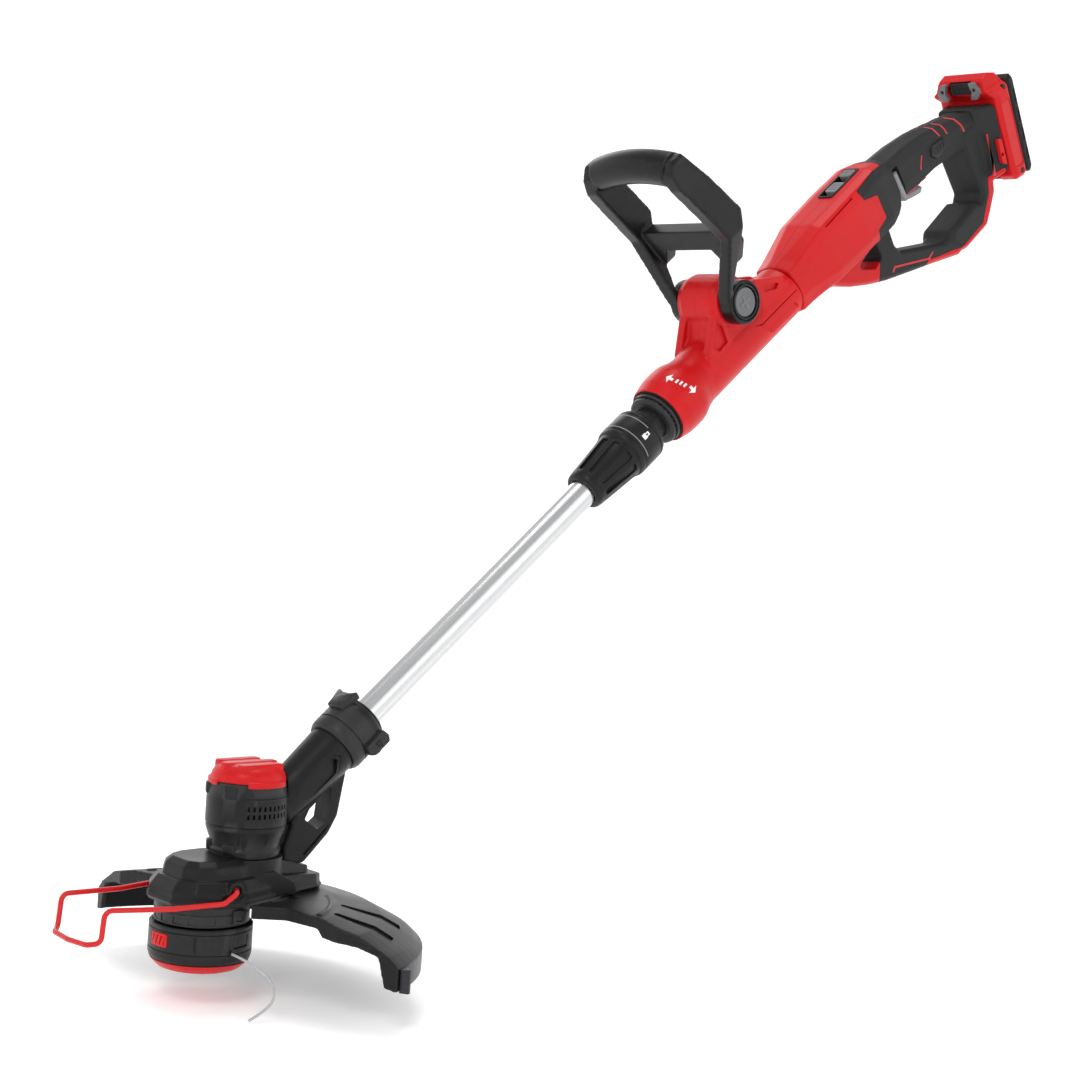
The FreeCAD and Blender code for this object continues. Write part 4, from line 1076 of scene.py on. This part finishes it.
def dome_tiers(grow=0.0):
    def tier(levels):
        outlines = [(z, rounded(outline_grown(DOME_PLAN, reach + grow), 3)) for z, reach in levels]
        return skin([[plan(p.x, p.y, z) for p in outline] for z, outline in outlines])

    def roof(points):
        lifted = [(x, z + grow) for x, z in points]
        return prism(lifted + [(130, 40), (-80, 40)], -70, 70)

    lower = kept(tier(((57, 0), (68, -0.5), (78, -8))), roof([(-80, 76), (30, 76), (130, 66)]))
    upper = kept(tier(((60, -8.5), (80, -10), (85, -11.5), (93, -21))),
                 roof([(-80, 88), (20, 90), (60, 84), (100, 73)]))
    ledge = prism([tuple(p) for p in rounded(outline_grown(DOME_PLAN, 1.2 + grow), 3)], 59.3 - grow,
                  61.2 + grow, plan)
    seat = upright_rod(MOTOR_X, 0, 60, 88.1 + min(grow, 0.0), 29.5 + grow, 96)
    return joined(lower, upper, ledge, seat)


def neck():
    socket = moved(lathe([(-112, 0), (-112, 16), (-84, 19.2), (-46, 20.7), (-6, 20.7), (-4.5, 20.2),
                          (-4.5, 0)]),
                   TO_HEAD)
    whole = softened(joined(socket, pillow(RIB, 9.0, 2.0, 3.0)), 1.0, 7)
    bore = lathe([(-109, 0), (-109, 13.4), (-72.3, 13.4), (-72.3, 12.85), (5, 12.85), (5, 0)])
    whole = cut(whole, moved(bore, TO_HEAD), upright_rod(MOTOR_X, 0, 80, 170, MOTOR_RADIUS + 0.35, 96),
                dome_tiers(0.3), prism(RIB_OPENING, -20, 20, side, 2.0))
    for sign in (-1, 1):
        whole = cut(whole, moved(flank(NECK_PANEL, sign, 17.3, 40.0, 1.5), TO_HEAD))
        frame_line = cut(flank(outline_grown(NECK_PANEL, 3.2), sign, 18.6, 40.0, 1.5),
                         prism(outline_grown(NECK_PANEL, 2.5), -60, 60, side, 1.5))
        whole = cut(whole, moved(frame_line, TO_HEAD))
        whole = cut(whole, flank([(75, 88), (93, 93), (109, 108), (104, 101), (86, 84)], sign, 7.6, 40.0,
                                 1.5))
    for label, low, high in HALVES:
        half = kept(copied(whole), box((-50, 300), (low, high), (0, 300)))
        finished(half, f"neck_shell_{label}", HEAD, "cutting_end", BLACK, [f"neck_{label}"])
    bpy.data.objects.remove(whole)


# --- motor housing ---
def about_motor(piece, angle):
    return moved(piece, Matrix.Translation((MOTOR_X, 0, 0)) @ Matrix.Rotation(radians(angle), 4, "Z"))


def ring_strip(low, high, inner, outer, first, last, centre=(0.0, 0.0), step=3.0):
    """Part of a ring about an upright axis, between two azimuths in degrees."""
    count = max(int(ceil((last - first) / step)), 1)
    angles = [radians(first + (last - first) * i / count) for i in range(count + 1)]
    outline = [(centre[0] + inner * cos(a), centre[1] + inner * sin(a)) for a in angles]
    outline += [(centre[0] + outer * cos(a), centre[1] + outer * sin(a)) for a in reversed(angles)]
    return prism(outline, low, high, plan)


def motor_housing():
    r = MOTOR_RADIUS
    centre = (MOTOR_X, 0.0)
    profile = [(88, 0), (88, r - 7), (92, r - 5.6), (100, r - 4), (108, r - 1.0), (110.5, r - 0.4),
               (112, r - 0.9), (113, r - 0.1), (118, r), (132, r), (138, r - 0.9), (145, r - 2.5), (145, 0)]
    body = lathe(profile, "z", centre)
    for azimuth, low, high in ((-150, 134, 143), (150, 134, 143), (-150, 91, 99), (150, 91, 99)):
        reach = r - 1.2 if low > 100 else r - 4.0
        clip = bevelled(box((reach - 4.0, reach + 2.0), (-5.0, 5.0), (low, high)), 1.5, 3)
        body = joined(body, about_motor(clip, azimuth))
    body = joined(body, lathe([(88.5, 20), (88.5, r - 4.6), (93.5, r - 3.4), (95.5, r - 4.8), (95.5, 20)],
                              "z", centre))
    body = bevelled(body, 0.3, 2, 45)
    for side_azimuth in (-90, 90):
        for low in (112.4, 134.4):
            body = cut(body, ring_strip(low, low + 0.9, r - 0.9, r + 3, side_azimuth - 38, side_azimuth + 38,
                                        centre))
        for row in (119.6, 125.4):
            for index in range(9):
                slot = prism([(-0.95, row), (0.95, row), (0.95, row + 3.9), (-0.95, row + 3.9)], r - 8,
                             r + 3, across, 0.5)
                body = cut(body, about_motor(slot, side_azimuth - 32 + 8 * index))
    inner = [(91, 0), (91, r - 9.5), (101, r - 6.5), (111, r - 3), (132, r - 3), (143, r - 5), (143, 0)]
    body = cut(body, lathe(inner, "z", centre), lathe([(142, 0), (142, r - 5), (147, r - 5), (147, 0)], "z",
                                                      centre),
               upright_rod(MOTOR_X, 0, 80, 100, 6))
    finished(body, "motor_housing_moulding", HEAD, "cutting_end", BLACK,
             ["motor_housing"])


def motor_cap():
    r = MOTOR_RADIUS
    centre = (MOTOR_X, 0.0)
    crown = [(145.1, 0), (145.1, r - 2.3), (147, r - 2.1), (151, r - 3.2), (154.5, r - 5.6),
             (157.2, r - 9.5), (158.4, r - 14), (158.4, 0)]
    cap = lathe(crown, "z", centre)
    for index in range(3):
        first = 120 * index - 125
        cap = joined(cap, ring_strip(142.2, 147.0, r - 1.6, r - 0.4, first, first + 70, centre))
        cap = joined(cap, ring_strip(145.2, 147.0, r - 4.0, r - 0.4, first, first + 70, centre))
    for index in range(3):
        y = 15.0 * (index - 1)
        reach = sqrt(25.0 ** 2 - y ** 2) - 1
        pad = prism([(MOTOR_X - reach, y - 5), (MOTOR_X + reach, y - 5), (MOTOR_X + reach, y + 5),
                     (MOTOR_X - reach, y + 5)], 150, 159.4, plan, 3.0)
        cap = joined(cap, bevelled(pad, 1.4, 3))
    cap = softened(cap, 0.7, 9)
    cap = cut(cap, lathe([(140, 0), (140, r - 5.5), (151, r - 7), (154.5, r - 11), (155.5, 0)], "z", centre),
              lathe([(140, 0), (140, r - 1.55), (145.05, r - 2.35), (145.05, 0)], "z", centre))
    finished(cap, "motor_cap_moulding", HEAD, "cutting_end", RED, ["motor_cap"])


# --- dome, gear case, guard and line cutter ---
GUIDE_X, GUIDE_Z = 2.0, 70.0


def dome():
    whole = dome_tiers()
    whole = joined(whole, cross_rod(GUIDE_X, GUIDE_Z, -41.2, 41.2, 6.5, 40))
    for sign in (-1, 1):
        whole = joined(whole, flank([(28, 60), (34, 79), (44, 79), (62, 70), (66, 60)], sign, 20.0, 31.5,
                                    2.0))
    whole = softened(whole, 0.8, 4)
    room = joined(dome_tiers(-2.5), upright_rod(0, 0, 50, 60, 33, 96))
    whole = cut(whole, room, upright_rod(MOTOR_X, 0, 80, 120, 24.9, 96),
                box((-90, 130), (-90, 90), (40, 57.02)), cross_rod(GUIDE_X, GUIDE_Z, -60, 60, 2.15, 32))
    for sign in (-1, 1):
        low, high = sorted((sign * 39.4, sign * 60.0))
        whole = cut(whole, cross_rod(GUIDE_X, GUIDE_Z, low, high, 4.4, 32))
        whole = cut(whole, flank([(-26, 61), (-8, 61), (-8, 62), (-26, 62)], sign, 38.6, 60.0))
    finished(whole, "dome_moulding", HEAD, "cutting_end", BLACK, ["dome"])


def gear_case():
    profile = [(41.5, 33.5), (41.5, 35.2), (42.3, 36.0), (50.5, 36.0), (50.5, 35.3), (51.6, 35.3),
               (51.6, 36.0), (56.9, 36.0), (56.9, 11.1), (54.0, 11.1), (54.0, 33.5)]
    case = lathe(profile, "z")
    block = prism([(3, -37.6), (15, -37.0), (15, -30), (3, -30)], 43.5, 54, plan, 1.0)
    case = joined(case, bevelled(block, 0.5), lathe([(49.5, 11.05), (49.5, 13.5), (54.5, 13.5),
                                                     (54.5, 11.05)], "z"))
    case = cut(case, box((6, 12), (-60, -36.2), (45.5, 50.5)), upright_rod(0, 0, 40, 53.9, 9, 12))
    for azimuth in range(100, 260, 20):
        case = cut(case, ring_strip(43.5, 49.0, 35.4, 40, azimuth, azimuth + 13))
    finished(bevelled(case, 0.25, 1, 50), "gear_case_moulding", HEAD, "cutting_end", BLACK,
             ["gear_case"])


GUARD_RADIUS, GUARD_NEAR, GUARD_FAR = 168.0, -66.0, 86.0
CUTTER_REACH = 175.4
# the guard's upper surface: height and radius
GUARD_TOP = [(0, 0), (59, 0), (59, 60), (57, 105), (50, 135), (37, 160), (28, 170), (0, 170)]


def spot(radius, azimuth):
    """A point in plan, at an azimuth in degrees about the spool's axis."""
    return (radius * cos(radians(azimuth)), radius * sin(radians(azimuth)))


def guard():
    sweep = GUARD_FAR - GUARD_NEAR
    arc = [spot(GUARD_RADIUS, GUARD_NEAR + sweep * step / 40) for step in range(41)]
    front = [spot(120, GUARD_FAR + 3), spot(70, GUARD_FAR - 4), (12, 46), (60, 38), (60, -38), (12, -46),
             spot(70, GUARD_NEAR + 4), spot(120, GUARD_NEAR - 3)]
    outline = arc + front
    top = lathe(GUARD_TOP, "z")
    under = lathe([(-1, 0), (56, 0), (56, 60), (54, 105), (47, 135), (34, 160), (25, 170), (-1, 170)], "z")
    lip = lathe([(-1, 0), (49, 0), (49, 100), (43, 106), (41, 135), (36, 152), (14, 158), (11, 172),
                 (-1, 172)], "z")
    whole = cut(kept(prism(outline, 0, 100, plan), top), lip)
    whole = cut(whole, kept(prism(outline_grown(outline, -3.2), -10, 100, plan), under))
    for first, last in ((GUARD_NEAR + 3, -22), (GUARD_FAR - 26, GUARD_FAR - 3)):
        rise = ring_strip(50, 59.4, 96, 99, first, last)
        whole = joined(whole, kept(rise, lathe([(0, 0), (60, 0), (60, 60), (58.6, 105), (0, 105)], "z")))
    whole = softened(whole, 1.15, 3)
    whole = cut(whole, upright_rod(0, 0, 0, 100, 36.3, 96),
                prism([tuple(p) for p in outline_grown(DOME_PLAN, 0.35)], 56.9, 120, plan))
    floor = [(z - 1.8, radius) for z, radius in GUARD_TOP[1:-1]]
    for azimuth in (-55, -39, 46, 64):
        recess = [spot(104, azimuth - 1.6), spot(150, azimuth - 3.2), spot(150, azimuth + 2.8),
                  spot(104, azimuth + 1.8)]
        tool = cut(prism(recess, 20, 80, plan, 3.0), lathe([(0, 0)] + floor + [(0, 170)], "z"))
        whole = cut(whole, tool)
    finished(whole, "debris_guard_moulding", HEAD, "cutting_end", BLACK, ["debris_guard"])


def line_cutter():
    """The blade that trims the line: a thin plate with a bent edge at the guard's near tip."""
    tip = GUARD_NEAR + 1.2
    blade = prism([spot(GUARD_RADIUS + 0.2, tip), spot(CUTTER_REACH, tip + 0.3),
                   spot(CUTTER_REACH + 0.2, tip + 1.3), spot(GUARD_RADIUS + 1.6, tip + 1.2),
                   spot(GUARD_RADIUS + 1.6, tip + 4.5), spot(GUARD_RADIUS + 0.2, tip + 4.5)], 11.4, 29.0,
                   plan)
    finished(bevelled(blade, 0.4), "line_cutter_blade", HEAD, "cutting_end", DARK_STEEL,
             ["line_cutter"])


neck()
motor_housing()
motor_cap()
dome()
gear_case()
guard()
line_cutter()


# --- spool, its cap, the release tabs and the glide plate ---
CAP_RADIUS = 39.0
CAP_TOP = 40.5
LINE_EXIT = (2.0, 22.5)
TAB_AZIMUTH = 184.0
TAB_TOP = 35.0


def tab_room(azimuth, margin, depth):
    """Room for a release tab in the cap's wall, or the tab itself where the margin is none."""
    half = 9.0 + margin
    outline = [(-half, 25 - margin), (half, 25 - margin), (half, TAB_TOP + margin),
               (-half, TAB_TOP + margin)]
    form = prism(outline, CAP_RADIUS - depth, CAP_RADIUS + 3, across, 1.2)
    return moved(form, Matrix.Rotation(radians(azimuth), 4, "Z"))


def spool_cap():
    r = CAP_RADIUS
    x, z = LINE_EXIT
    profile = [(12.5, 0), (10.2, 0), (10.2, 33), (12.9, 36.4), (13.4, 37.0), (14.2, 38.0), (17.5, r),
               (21.2, r), (21.2, r - 0.7), (22.0, r - 0.7), (22.0, r), (36.6, r), (36.6, r - 0.7),
               (37.4, r - 0.7), (37.4, r), (39.7, r), (CAP_TOP, r - 0.7), (CAP_TOP, r - 2.5), (17, r - 2.5),
               (14, 34.8), (12.5, 32)]
    cap = lathe(profile, "z", segments=144)
    cap = cut(cap, cross_rod(x, z, -60, -30, 2.65, 32))
    for turn in (0, 180):
        cap = cut(cap, tab_room(TAB_AZIMUTH + turn, 0.35, 6.0))
    for top, first in ((27.4, -84), (34.5, -62.5)):
        cap = cut(cap, ring_strip(25.6, top, r - 1.2, r + 3, first, -60))
    for azimuth in (-40, -22, 20, 60, 100, 140, 230):
        cap = cut(cap, ring_strip(24.0, 34.6, r - 0.5, r + 3, azimuth, azimuth + 1.4))
    finished(bevelled(cap, 0.25, 1, 50), "spool_cap_moulding", HEAD, "spool_head", BLACK,
             ["spool_cap"])
    for name, turn in (("front", 0), ("rear", 180)):
        tab = tab_room(TAB_AZIMUTH + turn, 0.0, 2.5)
        tab = kept(tab, lathe([(20, 0), (20, r + 0.5), (40, r + 0.5), (40, 0)], "z", segments=144))
        for index in range(4):
            y = -7.6 + 4.4 * index
            slash = prism([(y, 27.0), (y + 1.3, 27.0), (y + 3.6, 33.4), (y + 2.3, 33.4)], r - 0.5, r + 3,
                          across)
            tab = cut(tab, moved(slash, Matrix.Rotation(radians(TAB_AZIMUTH + turn), 4, "Z")))
        finished(bevelled(tab, 0.3, 2, 50), f"release_tab_{name}_cap", HEAD, f"tab_{name}", RED,
                 [f"release_tab_{name}"])


def glide_plate():
    profile = [(8.0, 0), (5.5, 0), (5.5, 26), (5.9, 28.6), (7.0, 31.6), (9.4, 34.2), (12.4, 37.2),
               (13.1, 37.5), (13.1, 36.7), (12.2, 36.0), (9.8, 33.2), (9.8, 29), (8.0, 27)]
    plate = lathe(profile, "z", segments=144)
    for index in range(12):
        plate = cut(plate,
                    moved(box((12, 24), (-0.9, 0.9), (4, 6.3)),
                          Matrix.Rotation(radians(30 * index), 4, "Z")))
    finished(bevelled(plate, 0.25, 1, 50), "glide_plate_moulding", HEAD, "spool_head", RED,
             ["glide_plate"])


spool_cap()
glide_plate()


# --- trimmer line ---
LINE_RADIUS = 1.0
LINE_ROUTE = [(2, -34, 22.5), (2.1, -47, 22.4), (6.5, -64, 18.3), (12, -77, 10.5), (12.5, -83.5, -1),
              (4, -81, -11.5), (-4.5, -75, -18)]


def trimmer_line():
    curve = bpy.data.curves.new("trimmer_line_free", "CURVE")
    curve.dimensions = "3D"
    curve.bevel_depth = LINE_RADIUS * MM
    curve.bevel_resolution = 6
    curve.resolution_u = 24
    curve.use_fill_caps = True
    spline = curve.splines.new("NURBS")
    spline.points.add(len(LINE_ROUTE) - 1)
    for point, place in zip(spline.points, LINE_ROUTE):
        point.co = (*(HEAD @ Vector(place)), 1.0)
    spline.order_u = 3
    spline.use_endpoint_u = True
    line = bpy.data.objects.new("trimmer_line_free", curve)
    bpy.context.collection.objects.link(line)
    curve.materials.append(NYLON)
    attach(line, "spool_head")
    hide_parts("trimmer_line")


trimmer_line()


# --- materials for the CAD nodes that still show ---
CARRIED = {
    "lower_tube": TUBE_METAL,
    "upper_tube": BLACK, "collar_seat": BLACK, "collet": NATURAL, "slider_tray": BLACK,
    "edge_guide": WIRE_PAINT, "line_eyelet": DARK_STEEL,
    "aux_pivot_pin": STEEL, "housing_screws": STEEL, "battery_screws": DARK_STEEL,
    "release_spring": STEEL, "trigger_spring": STEEL, "spindle": STEEL, "spindle_bearings": STEEL,
    "motor_can": DARK_STEEL, "rotor": COPPER, "pinion": STEEL, "drive_gear": NATURAL, "shaft_lead": BLACK,
    "control_board": CIRCUIT, "trigger_switch": BLACK, "terminal_block": BLACK, "battery_cells": CELL_WRAP,
    "spool_housing": BLACK, "line_spool": BLACK, "wound_line": NYLON, "lower_trim": RED,
}


def dress_carried_nodes():
    """Every CAD piece that still shows gets its own procedural material."""
    for name, node in frame["nodes"].items():
        if not node.hide_render:
            node.data.materials.clear()
            node.data.materials.append(CARRIED.get(name, BLACK))
            smooth_shaded(node, 30)


dress_carried_nodes()
